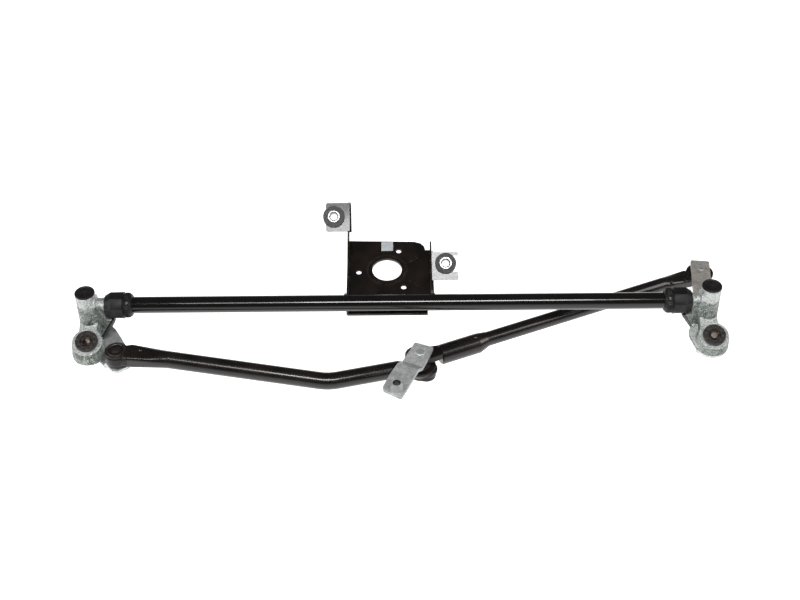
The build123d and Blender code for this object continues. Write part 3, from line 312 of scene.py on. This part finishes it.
def zinc(name, tint, rough, white, metal=0.5, reflection_tint=0.0, bore=None, riser=0.0):
    """Zinc-plated pressed steel: spangle, rolling marks, pale bloom and pale corners, from the
    plating rubbing off and from a painted edge highlight.

    reflection_tint: amount of a brownish tint, a painted reflection of darker surroundings; riser:
    darkening of leaning faces;
    bore: (x, y, radius) in metres of an upright hole, darkened within as painted shade.
    """
    mat = new_shader(name)
    blotch = mat.mask(low=0.34, high=0.68, scale=110, detail=6, rough=0.68)
    colour = mat.mix(blotch, scaled(tint, 0.66), scaled(tint, 1.28))
    spangle = mat.node("SeparateColor", {0: mat.cells(scale=210, output="Color")}).outputs[0]
    colour = mat.paint(colour, (0.30, 0.32, 0.32), mask=spangle, strength=0.30)
    bloom = mat.mask(low=0.58, high=0.75, end=white, scale=900, detail=4, rough=0.7)
    colour = mat.mix(bloom, colour, (0.84, 0.86, 0.85))
    dirt = mat.mask(low=0.52, high=0.66, end=0.55, scale=560, detail=5, rough=0.75)
    colour = mat.mix(dirt, colour, (0.14, 0.147, 0.145))
    # brownish tint: a painted reflection of darker surroundings
    if reflection_tint:
        colour = mat.mix(reflection_tint, colour, (0.36, 0.315, 0.275))
    # pale corners: the plating rubbing off, and a painted edge highlight
    lightened_edges = mat.edges(radius=0.0007, low=0.02, high=0.22)
    colour = mat.paint(colour, (0.95, 0.95, 0.94), mask=lightened_edges, strength=0.85)
    if riser:
        # the bent part of the strip leans, so its face takes less light
        lean = mat.ramp(mat.updown(), low=0.93, high=0.975, start=1.0, end=0.0)
        colour = mat.paint(colour, (0.16, 0.17, 0.175), mask=lean, strength=riser)
    if bore:
        x, y, _ = mat.place()
        distance = mat.length(mat.math("SUBTRACT", x, bore[0]), mat.math("SUBTRACT", y, bore[1]))
        # painted shade within the hole
        bore_shade = mat.below(distance, bore[2])
        colour = mat.paint(colour, (0.014, 0.015, 0.014), mask=bore_shade, strength=0.95)
    fine = mat.bump(mat.noise(scale=600, detail=4, rough=0.65), strength=0.28, distance=0.00035)
    normal = mat.bump(mat.noise(detail=3, rough=0.6, stretch=(1500, 90, 400)),
                      strength=0.10, distance=0.0002, under=fine)
    gloss = mat.roughness(mat.noise(scale=330, detail=5, rough=0.7), rough)
    return mat.finish(Base_Color=colour, Metallic=metal, Roughness=gloss, Normal=normal)


def steel(name, tint=(0.50, 0.50, 0.495), rough=(0.20, 0.34)):
    """Turned bright steel."""
    mat = new_shader(name)
    blotch = mat.mask(low=0.35, high=0.7, scale=160, detail=4, rough=0.6)
    gloss = mat.roughness(mat.noise(scale=700, detail=4, rough=0.6), rough)
    normal = mat.bump(mat.noise(scale=1700, detail=2, rough=0.5), strength=0.12, distance=0.0001)
    return mat.finish(Base_Color=mat.mix(blotch, scaled(tint, 0.8), tint), Metallic=1.0,
                      Roughness=gloss, Normal=normal)


def plastic(name, base, light, rough, texture, specular=0.28):
    """Moulded black plastic with a spark-eroded texture and slight handling marks."""
    mat = new_shader(name)
    colour = mat.mix(mat.mask(low=0.35, high=0.7, scale=90, detail=4, rough=0.6), base, light)
    scuffs = mat.mask(low=0.63, high=0.8, detail=4, rough=0.7, stretch=(900, 160, 260))
    colour = mat.paint(colour, (0.10, 0.098, 0.098), mask=scuffs, strength=0.35)
    lightened_edges = mat.edges(radius=0.0006, low=0.03, high=0.3)
    colour = mat.paint(colour, (0.09, 0.088, 0.09), mask=lightened_edges, strength=0.25)
    gloss = mat.roughness(mat.noise(scale=500, detail=4, rough=0.6), rough)
    normal = mat.bump(mat.noise(scale=1500, detail=3, rough=0.7),
                      strength=texture, distance=0.00025)
    return mat.finish(Base_Color=colour, Roughness=gloss, Normal=normal,
                      Specular_IOR_Level=specular)


def rubber(name, base=(0.052, 0.050, 0.052), light=(0.105, 0.102, 0.104), rough=(0.52, 0.74)):
    """Moulded rubber with chalky bloom."""
    mat = new_shader(name)
    bloom = mat.noise(scale=210, detail=6, rough=0.7)
    colour = mat.mix(mat.ramp(bloom, low=0.33, high=0.72), base, light)
    specks = mat.mask(low=0.60, high=0.74, scale=1500, detail=3, rough=0.7)
    colour = mat.paint(colour, scaled(light, 2.0), mask=specks, strength=0.35)
    lightened_edges = mat.edges(radius=0.0007, low=0.03, high=0.3)
    colour = mat.paint(colour, scaled(light, 1.7), mask=lightened_edges, strength=0.35)
    normal = mat.bump(mat.noise(scale=900, detail=4, rough=0.7), strength=0.4, distance=0.0003)
    return mat.finish(Base_Color=colour, Roughness=mat.roughness(bloom, rough), Normal=normal,
                      Sheen_Weight=0.15)


def label(name):
    mat = new_shader(name)
    blotch = mat.mask(low=0.3, high=0.7, scale=180, detail=5, rough=0.6)
    normal = mat.bump(mat.noise(scale=800, detail=3, rough=0.6), strength=0.1, distance=0.0002)
    return mat.finish(Base_Color=mat.mix(blotch, (0.52, 0.545, 0.56), (0.66, 0.685, 0.70)),
                      Roughness=0.38, Normal=normal)


def bronze(name, base=(0.30, 0.19, 0.105), rough=(0.24, 0.42)):
    """Sintered bronze with dark pores."""
    mat = new_shader(name)
    blotch = mat.mask(low=0.3, high=0.7, scale=260, detail=5, rough=0.7)
    colour = mat.mix(blotch, scaled(base, 0.5), base)
    solid = mat.ramp(mat.cells(scale=1600), low=0.10, high=0.30)
    normal = mat.bump(mat.noise(scale=1200, detail=3, rough=0.6), strength=0.2, distance=0.0002)
    return mat.finish(Base_Color=mat.mix(solid, (0.05, 0.035, 0.02), colour), Metallic=0.9,
                      Roughness=mat.roughness(mat.noise(scale=600), rough), Normal=normal)


# bracket: the pale edges are the paint rubbing off and a painted edge highlight
ENAMEL = enamel("black_enamel", base=(0.0052, 0.0038, 0.0030), brown=(0.0190, 0.0120, 0.0085),
                rough=(0.16, 0.28), coat=0.35, dust=0.16, peel=0.8, edge_strength=0.85,
                edge_colour=(0.42, 0.40, 0.37), ring=(0.0232, 0.0252))
ENAMEL_TUBE = enamel("tube_enamel", base=(0.0032, 0.0030, 0.0028), brown=(0.0062, 0.0052, 0.0044),
                     rough=(0.13, 0.17), coat=0.55, dust=0.03, peel=0.04)
ENAMEL_ROD = enamel("rod_enamel", base=(0.0040, 0.0030, 0.0025), brown=(0.0150, 0.0095, 0.0066),
                    rough=(0.22, 0.32), coat=0.5, dust=0.09, peel=0.1)
# welds: the pale mottling is a painted highlight for glints on the beads, the pale edges are the
# paint rubbing off and a painted highlight, and the specks are dust
WELD = enamel("weld_enamel", base=(0.0100, 0.0085, 0.0070), brown=(0.16, 0.15, 0.14),
              rough=(0.12, 0.24), coat=0.8, dust=0.4, edge_strength=0.9, edge_colour=(0.5, 0.48, 0.46))
CAST = casting("zinc_casting")
ZINC = zinc("zinc_plate", tint=(0.74, 0.76, 0.755), rough=(0.26, 0.46), white=0.6, metal=0.45)
ZINC_CRANK = zinc("crank_plate", tint=(0.78, 0.81, 0.81), rough=(0.28, 0.46), white=0.7,
                  bore=(0.0111, -0.18344, 0.00475), riser=0.55)
PIN = steel("pin_steel", tint=(0.16, 0.16, 0.155), rough=(0.40, 0.55))
TUBE_RING = steel("ring_steel", tint=(0.34, 0.34, 0.335), rough=(0.24, 0.38))
# right lever: darker, browner zinc, a painted reflection of darker surroundings
ZINC_LEVER = zinc("lever_plate_painted_reflection", tint=(0.66, 0.61, 0.56), rough=(0.32, 0.5), white=0.45, reflection_tint=0.15)
ZINC_STUD = zinc("stud_plate", tint=(0.55, 0.565, 0.56), rough=(0.42, 0.6), white=0.3)
STEEL = steel("bright_steel")
SLEEVE_DARK = bronze("ear_sleeve_bronze", base=(0.17, 0.125, 0.10), rough=(0.14, 0.30))
PLASTIC = plastic("cap_plastic", base=(0.0085, 0.0075, 0.0078), light=(0.021, 0.0185, 0.019),
                  rough=(0.34, 0.52), texture=0.35)
COLLAR = plastic("collar_plastic", base=(0.0060, 0.0058, 0.0064), light=(0.0150, 0.0142, 0.0155),
                 rough=(0.28, 0.44), texture=0.45)
SOCKET = plastic("socket_plastic", base=(0.0062, 0.0046, 0.0040), light=(0.0170, 0.0130, 0.0105),
                 rough=(0.26, 0.42), texture=0.2)
SOCKET_LID = plastic("lid_plastic", base=(0.011, 0.008, 0.0066), light=(0.030, 0.022, 0.017),
                     rough=(0.22, 0.36), texture=0.2, specular=0.5)
RUBBER = rubber("grommet_rubber")
RUBBER_DARK = rubber("ear_rubber", base=(0.0065, 0.0055, 0.0045), light=(0.030, 0.025, 0.019),
                     rough=(0.40, 0.60))
BRONZE = bronze("sintered_bronze")
LABEL = label("label_film")

SLOT_MATERIAL = {
    "black_enamel": ENAMEL, "weld_enamel": WELD, "zinc_casting": CAST, "zinc_plated_steel": ZINC,
    "bright_steel": STEEL, "sintered_bronze": BRONZE, "black_plastic": PLASTIC,
    "socket_plastic": SOCKET, "black_rubber": RUBBER, "label_film": LABEL,
}
# nodes that differ from their slot's material
NODE_MATERIAL = {
    "main_tube": ENAMEL_TUBE, "left_rod_tube": ENAMEL_ROD, "right_rod_tube": ENAMEL_ROD,
    "right_rod_sleeve": ENAMEL_ROD, "right_lever": ZINC_LEVER, "crank_arm": ZINC_CRANK,
    "tube_lock_pins": PIN, "left_ball_stud": ZINC_STUD, "right_ball_stud": ZINC_STUD,
    "crank_ball_stud": ZINC_STUD, "left_tube_collar": COLLAR, "right_tube_collar": COLLAR,
    "left_shaft_seal": RUBBER_DARK, "right_shaft_seal": RUBBER_DARK,
    "left_rod_lever_boot": RUBBER_DARK, "left_rod_crank_boot": RUBBER_DARK,
}
for node_name, part in NODES.items():
    material = NODE_MATERIAL.get(node_name) or SLOT_MATERIAL[SLOT[node_name]]
    if len(part.material_slots) == 0:
        part.data.materials.append(material)
    for slot in part.material_slots:
        slot.link = "OBJECT"
        slot.material = material


# ---------------------------------------------- modifiers on carried CAD nodes
def weld_smooth(part):
    if part.data.has_custom_normals:
        with bpy.context.temp_override(object=part, active_object=part, selected_objects=[part]):
            bpy.ops.mesh.customdata_custom_splitnormals_clear()
    part.data.shade_smooth()
    part.modifiers.new("weld", "WELD").merge_threshold = 2e-6


def edged(part, width, angle, segments):
    """Rounds the hard edges of a CAD node."""
    weld_smooth(part)
    bevel = part.modifiers.new("edge", "BEVEL")
    bevel.width = width * MM
    bevel.segments = segments
    bevel.limit_method = "ANGLE"
    bevel.angle_limit = math.radians(angle)
    bevel.use_clamp_overlap = True
    bevel.miter_outer = "MITER_ARC"
    normals = part.modifiers.new("normals", "WEIGHTED_NORMAL")
    normals.weight = 80
    normals.keep_sharp = False


def moulded(part, voxel, rounds):
    """Cast or moulded look: every inner and outer corner is blended."""
    weld_smooth(part)
    skin = part.modifiers.new("skin", "REMESH")
    skin.mode = "VOXEL"
    skin.voxel_size = voxel * MM
    skin.use_smooth_shade = True
    blend = part.modifiers.new("blend", "SMOOTH")
    blend.iterations = rounds
    blend.factor = 0.5


for node_name in ("crank_arm", "left_lever", "right_lever"):
    edged(NODES[node_name], width=0.55, angle=28, segments=3)
edged(NODES["motor_bracket"], width=0.35, angle=28, segments=3)
for node_name in ("left_ball_stud", "right_ball_stud", "crank_ball_stud", "left_pivot_shaft",
                  "right_pivot_shaft", "bracket_label"):
    edged(NODES[node_name], width=0.2, angle=30, segments=2)
for node_name in ("left_pivot_housing", "right_pivot_housing"):
    moulded(NODES[node_name], voxel=0.65, rounds=9)
for node_name in ("left_rod_lever_socket", "left_rod_crank_socket", "right_rod_lever_socket",
                  "right_rod_crank_eye"):
    moulded(NODES[node_name], voxel=0.55, rounds=6)


# -------------------------------------------------------------- mesh builders
def basis(axis):
    """Matrix whose z column is axis."""
    z = Vector(axis).normalized()
    x = Vector((1, 0, 0))
    if abs(z.dot(x)) > 0.95:
        x = Vector((0, 1, 0))
    y = z.cross(x).normalized()
    x = y.cross(z).normalized()
    return Matrix((x, y, z)).transposed()


def rounded(points, closed, steps=5):
    """Outline (radius, height) from (radius, height, corner radius), with corners curved."""
    outline = []
    count = len(points)
    for i, (radius, height, corner) in enumerate(points):
        if corner <= 0 or (not closed and i in (0, count - 1)):
            outline.append((radius, height))
            continue
        here = Vector((radius, height))
        back = Vector(points[i - 1][:2]) - here
        ahead = Vector(points[(i + 1) % count][:2]) - here
        room = min(back.length * 0.49, ahead.length * 0.49)
        back.normalize()
        ahead.normalize()
        angle = math.acos(max(-1, min(1, back.dot(ahead))))
        cut = min(corner / max(math.tan(angle / 2), 1e-6), room)
        start, end = here + back * cut, here + ahead * cut
        for j in range(steps + 1):
            u = j / steps
            point = start.lerp(here, u).lerp(here.lerp(end, u), u)
            outline.append((point.x, point.y))
    return outline


def finish_mesh(name, bm, material, replaces, body, sharp):
    bmesh.ops.remove_doubles(bm, verts=bm.verts, dist=1e-7)
    bmesh.ops.recalc_face_normals(bm, faces=bm.faces)
    mesh = bpy.data.meshes.new(name)
    bm.to_mesh(mesh)
    bm.free()
    mesh.shade_smooth()
    mesh.set_sharp_from_angle(angle=math.radians(sharp))
    mesh.materials.append(material)
    piece = bpy.data.objects.new(name, mesh)
    scene.collection.objects.link(piece)
    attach(piece, body)
    if replaces:
        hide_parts(replaces)


def lathe(name, profile, centre, axis, material, replaces=None, body="frame",
          segments=96, closed=True, shape=None, sharp=40):
    """Solid of revolution; profile rows are (radius, height along axis, corner radius).

    shape(r, h, angle) may move each point.
    """
    turn = basis(axis)
    centre = Vector(centre) - ORIGIN
    bm = bmesh.new()
    rings = []
    for radius, height in rounded(profile, closed):
        if radius < 1e-6:
            rings.append([bm.verts.new((centre + turn @ Vector((0, 0, height))) * MM)])
            continue
        ring = []
        for k in range(segments):
            a = 2 * math.pi * k / segments
            r, h = shape(radius, height, a) if shape else (radius, height)
            point = Vector((r * math.cos(a), r * math.sin(a), h))
            ring.append(bm.verts.new((centre + turn @ point) * MM))
        rings.append(ring)
    pairs = list(zip(rings, rings[1:]))
    if closed:
        pairs.append((rings[-1], rings[0]))
    for low, high in pairs:
        for k in range(segments):
            k2 = (k + 1) % segments
            if len(low) == 1:
                bm.faces.new((low[0], high[k], high[k2]))
            elif len(high) == 1:
                bm.faces.new((low[k], high[0], low[k2]))
            else:
                bm.faces.new((low[k], high[k], high[k2], low[k2]))
    finish_mesh(name, bm, material, replaces, body, sharp)


# ------------------------------------------------- bracket grommets and sleeves
def bracket_set(side, centre, rim):
    under = -2.0        # lower side of the ear; its upper side is at height 0

    def ribs(r, h, a):
        """Faint ribs on both end faces and a slightly uneven rim."""
        if 7.5 < r < rim - 0.6 and (h > 0.5 or h < under - 0.5):
            return r, h + 0.16 * math.cos(12 * a) * (1 if h > 0 else -1)
        if r >= rim - 0.6:
            return r + 0.10 * math.sin(5 * a + 1.0), h
        return r, h

    lathe(side + "_grommet_rubber", [
        (6.02, under - 3.4, 0.3), (7.6, under - 3.4, 0.5), (8.3, under - 2.9, 0.5),
        (11.6, under - 3.0, 0.6), (12.2, under - 3.4, 0.5), (rim, under - 2.6, 1.0),
        (rim, under - 0.6, 0.7), (rim - 0.7, under - 0.04, 0.3), (10.0, under - 0.04, 0.2),
        (9.95, -0.9, 0.2), (10.0, 0.04, 0.2), (rim - 0.7, 0.04, 0.3), (rim, 0.7, 0.7),
        (rim, 2.2, 1.1), (rim - 1.1, 3.3, 0.9), (10.9, 3.4, 0.4), (10.3, 2.9, 0.5),
        (8.6, 2.9, 0.5), (8.1, 3.42, 0.3), (6.02, 3.42, 0.2)],
        centre, BRACKET_EAR_NORMAL, RUBBER, side + "_bracket_grommet",
        segments=120, shape=ribs, sharp=50)
    lathe(side + "_grommet_sleeve", [
        (4.5, under - 4.0, 0.35), (5.98, under - 4.0, 0.3), (5.98, 3.44, 0.1), (7.0, 3.46, 0.2),
        (7.6, 3.9, 0.35), (7.5, 4.56, 0.4), (5.6, 4.56, 0.5), (5.15, 4.1, 0.3), (4.5, 3.3, 0.3)],
        centre, BRACKET_EAR_NORMAL, TUBE_RING, side + "_bracket_sleeve")


for side, (centre, rim) in BRACKET_EARS.items():
    bracket_set(side, centre, rim)


# --------------------------------------------- housing ear grommets and sleeves
def ear_set(side, centre):
    under = -11.0       # lower side of the ear; its upper side is at height 0

    def ribs(r, h, a):
        if 8.2 < r < 12.2 and h > 3.0:
            return r, h + 0.35 * math.cos(9 * a)
        return r, h

    lathe(side + "_ear_rubber", [
        (6.5, under - 1.6, 0.2), (12.1, under - 1.6, 0.5), (12.6, under - 1.0, 0.4),
        (12.6, under - 0.03, 0.1), (10.97, under - 0.03, 0.2), (10.9, -5.0, 0.5),
        (10.97, 0.03, 0.2), (13.1, 0.03, 0.3), (13.7, 0.8, 0.6), (13.7, 3.4, 0.9),
        (12.9, 4.5, 0.6), (11.7, 4.6, 0.4), (11.2, 3.8, 0.6), (8.9, 3.8, 0.6), (8.3, 4.55, 0.5),
        (7.4, 4.55, 0.4), (7.0, 2.9, 0.4), (6.5, 2.6, 0.2)],
        centre, HOUSING_EAR_NORMAL, RUBBER_DARK, side + "_ear_grommet",
        segments=144, shape=ribs, sharp=50)
    lathe(side + "_ear_tube", [
        (4.2, under - 1.6, 0.3), (6.48, under - 1.6, 0.3), (6.48, 3.2, 0.3), (6.1, 4.0, 0.4),
        (5.2, 4.0, 0.3), (4.2, 3.0, 0.3)],
        centre, HOUSING_EAR_NORMAL, SLEEVE_DARK, side + "_ear_sleeve")


for side, centre in HOUSING_EARS.items():
    ear_set(side, centre)


# ------------------------------------------------------------------ barrel caps
def cap_shape(r, h, a):
    """Shallow moulded spokes and a grip rim."""
    if 4.0 < r < 9.0 and h > 21.5:
        return r, h + 0.22 * max(0.0, math.cos(6 * a)) ** 2
    if r > 11.7:
        return r + 0.06 * math.cos(48 * a), h
    return r, h


CAP = [
    (0, 20.6, 0), (6.9, 20.6, 0.3), (7.3, 21.04, 0.2), (11.6, 21.04, 0.2), (11.95, 21.5, 0.3),
    (11.95, 22.7, 0.6), (11.4, 23.5, 0.6), (10.1, 23.5, 0.5), (9.3, 22.75, 0.6), (4.4, 22.6, 0.8),
    (3.2, 23.0, 0.5), (1.6, 23.1, 0.4), (0.9, 22.6, 0.3), (0, 22.5, 0)]
for side, (x, drop) in BARRELS.items():
    lathe(side + "_cap", CAP, (x, 0, -drop), UP, PLASTIC, side + "_barrel_cap",
          segments=144, closed=False, shape=cap_shape, sharp=45)


# ---------------------------------------------------------------- tube collars
def collar_shape(r, h, a):
    if h > 328.6 and r > 12.5:
        # faint eight-sided body that fades towards the ends
        side = math.pi / 4
        flat = math.cos(side / 2) / math.cos(((a + side / 2) % side) - side / 2)
        weight = min(1.0, (h - 328.6) / 2.0) * min(1.0, max(0.0, (351.0 - h) / 5.0))
        return r * (1 - weight * (1 - flat)), h
    if 321.2 < h < 327.2 and r > 13.6:
        # knurled ring
        return r + 0.34 * math.cos(36 * a), h
    return r, h


# heights run outwards along the tube from its middle
TUBE_COLLAR = [
    (10.06, 351.4, 0.2), (10.9, 351.5, 0.3), (12.6, 350.4, 0.5), (16.0, 344.6, 0.5),
    (16.5, 343.2, 0.4), (16.5, 329.4, 0.3), (16.2, 328.5, 0.3), (15.2, 328.1, 0.2),
    (14.15, 328.0, 0.2), (14.1, 326.9, 0.2), (14.7, 326.7, 0.25), (14.75, 324.0, 0.2),
    (14.6, 321.7, 0.5), (12.9, 318.9, 0.8), (11.4, 318.0, 0.5), (10.06, 318.0, 0.2)]
for side, outward in (("left", -1), ("right", 1)):
    lathe(side + "_collar", TUBE_COLLAR, (0, 0, 0), (outward, 0, 0), COLLAR,
          side + "_tube_collar", segments=160, shape=collar_shape, sharp=38)


# ------------------------------------------------------------------ weld beads
def bead(name, path, width, height, normal, seed, replaces=None):
    """Overlapping weld ripples along a path."""
    steps, segments, ripple_pitch = 90, 20, 1.15
    points = [Vector(point) - ORIGIN for point in path]
    reached = [0.0]
    for start, end in zip(points, points[1:]):
        reached.append(reached[-1] + (end - start).length)
    total = reached[-1]

    def along(s):
        """Point and direction at distance s."""
        for i in range(len(points) - 1):
            if s <= reached[i + 1] or i == len(points) - 2:
                part = (s - reached[i]) / max(1e-9, reached[i + 1] - reached[i])
                direction = (points[i + 1] - points[i]).normalized()
                return points[i].lerp(points[i + 1], part), direction

    bm = bmesh.new()
    rings = []
    normal = Vector(normal).normalized()
    for i in range(steps + 1):
        s = total * i / steps
        middle, direction = along(min(s, total))
        side = direction.cross(normal).normalized()
        up = side.cross(direction).normalized()
        # rounded ends
        taper = min(1.0, min(s, total - s) / (width * 0.5) + 0.02)
        taper = math.sqrt(max(0.0, 1 - (1 - taper) ** 2))
        ripple = (s / ripple_pitch) % 1.0
        lump = 1.0 + 0.16 * (ripple - 0.5) + 0.20 * noise.noise(Vector((s * 0.35, seed, 0)))
        ring = []
        for k in range(segments):
            a = 2 * math.pi * k / segments
            uneven = 1 + 0.12 * noise.noise(Vector((s * 0.5, seed + 5, math.sin(a))))
            y = math.cos(a) * (width / 2 * taper * uneven)
            # the lower half is shallower and has no ripples
            z = math.sin(a) * (height * taper * lump if math.sin(a) > 0 else height * 0.45 * taper)
            ring.append(bm.verts.new((middle + side * y + up * z) * MM))
        rings.append(ring)
    for low, high in zip(rings, rings[1:]):
        for k in range(segments):
            k2 = (k + 1) % segments
            bm.faces.new((low[k], low[k2], high[k2], high[k]))
    bm.faces.new(rings[0][::-1])
    bm.faces.new(rings[-1])
    finish_mesh(name, bm, WELD, replaces, "frame", sharp=60)


def round_tube(x, start, end, steps=8):
    """Arc across the tube's outside at x, in degrees; 0 is +Y and 90 is +Z."""
    angles = [math.radians(start + (end - start) * i / steps) for i in range(steps + 1)]
    return [(x, BEAD_RADIUS * math.cos(a), BEAD_RADIUS * math.sin(a)) for a in angles]


def along_plate(start, end):
    """Straight line low on the tube's rear side."""
    return [(start, 5.6, -8.9), (end, 5.6, -8.9)]


bead("weld_left_outer", round_tube(-63.3, 68, 12), width=3.6, height=1.6, normal=(0, 0.6, 0.8),
     seed=1.3, replaces="bracket_weld_beads")
bead("weld_right_outer", round_tube(42.6, 66, 14), width=3.4, height=1.5, normal=(0, 0.6, 0.8),
     seed=4.1)
bead("weld_plate_left", along_plate(-55.0, -34.0), width=3.4, height=1.5, normal=(0, 0.5, 0.86),
     seed=7.7)
bead("weld_plate_right", along_plate(12.0, 33.0), width=3.4, height=1.5, normal=(0, 0.5, 0.86),
     seed=9.2)


# ------------------------------------------------- dust boots and socket crown
def boot(name, centre, bottom, top, bottom_radius, top_radius, replaces):
    tall = top - bottom
    lathe(name, [
        (4.75, bottom, 0.1), (bottom_radius, bottom + 0.02, 0.15),
        (bottom_radius + 0.6, bottom + 0.2 * tall, 0.3),
        (bottom_radius - 0.9, bottom + 0.38 * tall, 0.25),
        (bottom_radius + 0.1, bottom + 0.52 * tall, 0.3),
        (top_radius - 0.6, bottom + 0.66 * tall, 0.25),
        (top_radius + 0.4, bottom + 0.82 * tall, 0.3),
        (top_radius, top - 0.02, 0.15), (4.75, top, 0.1)],
        centre, UP, RUBBER_DARK, replaces, body="left_rod", sharp=50)


boot("left_rod_boot", LEFT_SOCKET, bottom=-41.7, top=-38.92, bottom_radius=9.0, top_radius=11.5,
     replaces="left_rod_lever_boot")
lathe("left_socket_crown", [
    (0, -22.4, 0), (11.4, -22.4, 0), (11.4, -21.5, 0.3), (10.6, -21.0, 0.4), (9.3, -21.05, 0.4),
    (8.6, -21.75, 0.3), (6.0, -21.85, 0.4), (5.2, -21.3, 0.4), (3.6, -21.3, 0.3),
    (3.0, -20.9, 0.3), (1.4, -20.8, 0.5), (0, -20.85, 0)],
    LEFT_SOCKET, UP, SOCKET_LID, body="left_rod", closed=False, sharp=30)
boot("crank_boot", CRANK_SOCKET, bottom=-50.98, top=-48.1, bottom_radius=11.5, top_radius=9.5,
     replaces="left_rod_crank_boot")


# ----------------------------------------------------------------------- floor
def floor_material():
    """White floor that glows; seen from below it is clear."""
    glow, camera_glow = 0.66, 0.28      # strength for all rays, and extra for the camera's
    mat = new_shader("floor")
    camera_ray = mat.node("LightPath", {}).outputs["Is Camera Ray"]
    behind = mat.node("NewGeometry", {}).outputs["Backfacing"]
    diffuse = mat.node("BsdfDiffuse", {0: (0.92, 0.92, 0.92)})
    strength = mat.math("MULTIPLY_ADD", camera_ray, camera_glow, glow)
    emission = mat.node("Emission", {0: (1, 1, 1), 1: strength})
    lit = mat.node("AddShader", {0: diffuse.outputs[0], 1: emission.outputs[0]})
    clear = mat.node("BsdfTransparent", {})
    return mat.surface(mat.node("MixShader", {
        0: mat.times(behind, camera_ray), 1: lit.outputs[0], 2: clear.outputs[0]}))


def build_floor():
    half, centre_y, z = 5.0, 1.0, -0.36
    bm = bmesh.new()
    bm.faces.new([bm.verts.new(Vector((x * half, y * half + centre_y, z)) - ORIGIN_M)
                  for x, y in ((-1, -1), (1, -1), (1, 1), (-1, 1))])
    mesh = bpy.data.meshes.new("floor")
    bm.to_mesh(mesh)
    bm.free()
    floor = bpy.data.objects.new("floor", mesh)
    scene.collection.objects.link(floor)
    mesh.materials.append(floor_material())


build_floor()

# ----------------------------------------------------------------------- world
# (height from straight down at 0 to straight up at 1, colour)
SKY = ((0.0, (0.9, 0.9, 0.9)), (0.49, (0.85, 0.85, 0.85)), (0.535, (0.16, 0.16, 0.16)),
       (0.62, (0.07, 0.07, 0.07)), (1.0, (0.10, 0.10, 0.102)))
BACKDROP = (0.955, 0.955, 0.955)


def build_world():
    """The camera sees a pale backdrop; reflections see a studio darker above the horizon."""
    scene.world = bpy.data.worlds.new("studio")
    sky = Shader(scene.world, "OutputWorld")
    direction = sky.node("TexCoord", {}).outputs["Generated"]
    height = sky.node("SeparateXYZ", {0: direction}).outputs[2]
    height = sky.node("MapRange", {0: height, "From Min": -1, "From Max": 1}).outputs[0]
    ramp = sky.node("ValToRGB", {0: height})
    elements = ramp.color_ramp.elements
    for position, _ in SKY[1:-1]:
        elements.new(position)
    for element, (_, colour) in zip(elements, SKY):
        element.color = (*colour, 1)
    studio = sky.node("Background", {0: ramp.outputs[0], 1: 1.0})
    pale = sky.node("Background", {0: BACKDROP})
    camera_ray = sky.node("LightPath", {}).outputs["Is Camera Ray"]
    sky.surface(sky.node("MixShader", {
        0: camera_ray, 1: studio.outputs[0], 2: pale.outputs[0]}))


build_world()


# ---------------------------------------------------------------------- lights
def area(name, elevation, azimuth, distance, target_x, width, height, power):
    """Area light aimed at the tube's axis; azimuth 0 is in front, positive to the right."""
    up, round_z = math.radians(elevation), math.radians(azimuth)
    place = Vector((distance * math.cos(up) * math.sin(round_z),
                    -distance * math.cos(up) * math.cos(round_z), distance * math.sin(up)))
    data = bpy.data.lights.new(name, "AREA")
    data.shape = "RECTANGLE"
    data.size = width
    data.size_y = height
    data.energy = power
    light = bpy.data.objects.new(name, data)
    light.location = place - ORIGIN_M
    light.rotation_mode = "QUATERNION"
    light.rotation_quaternion = (Vector((target_x, 0, 0)) - place).to_track_quat("-Z", "Y")
    scene.collection.objects.link(light)


area("key", elevation=57.5, azimuth=6.5, distance=2.2, target_x=0.05,
     width=0.85, height=0.34, power=13)
area("key_wide", elevation=57.5, azimuth=1, distance=2.25, target_x=0.0,
     width=1.35, height=0.30, power=11)
area("fill_left", elevation=36, azimuth=-68, distance=2.4, target_x=-0.1,
     width=1.0, height=1.2, power=19)
area("fill_right", elevation=38, azimuth=66, distance=2.4, target_x=0.1,
     width=1.0, height=1.2, power=16)


# ---------------------------------------------------------------------- camera
def build_camera(elevation, roll, distance, target_x):
    """Camera straight in front, looking down by elevation; angles in degrees."""
    data = bpy.data.cameras.new("camera")
    data.sensor_width = 36
    data.lens = 58.5
    data.shift_y = 0.003375
    data.clip_start = 0.05
    data.clip_end = 50
    camera = bpy.data.objects.new("camera", data)
    scene.collection.objects.link(camera)
    tilt = math.radians(elevation)
    back = Vector((0, -math.cos(tilt), math.sin(tilt)))
    camera.location = Vector((target_x, 0, 0)) - ORIGIN_M + back * distance
    camera.rotation_mode = "QUATERNION"
    rolled = Matrix.Rotation(-math.radians(roll), 3, back).to_quaternion()
    camera.rotation_quaternion = rolled @ (-back).to_track_quat("-Z", "Y")
    scene.camera = camera


build_camera(elevation=41.5, roll=0.5, distance=1.560, target_x=0.00205)
scene.view_settings.view_transform = "Standard"
scene.view_settings.look = "None"
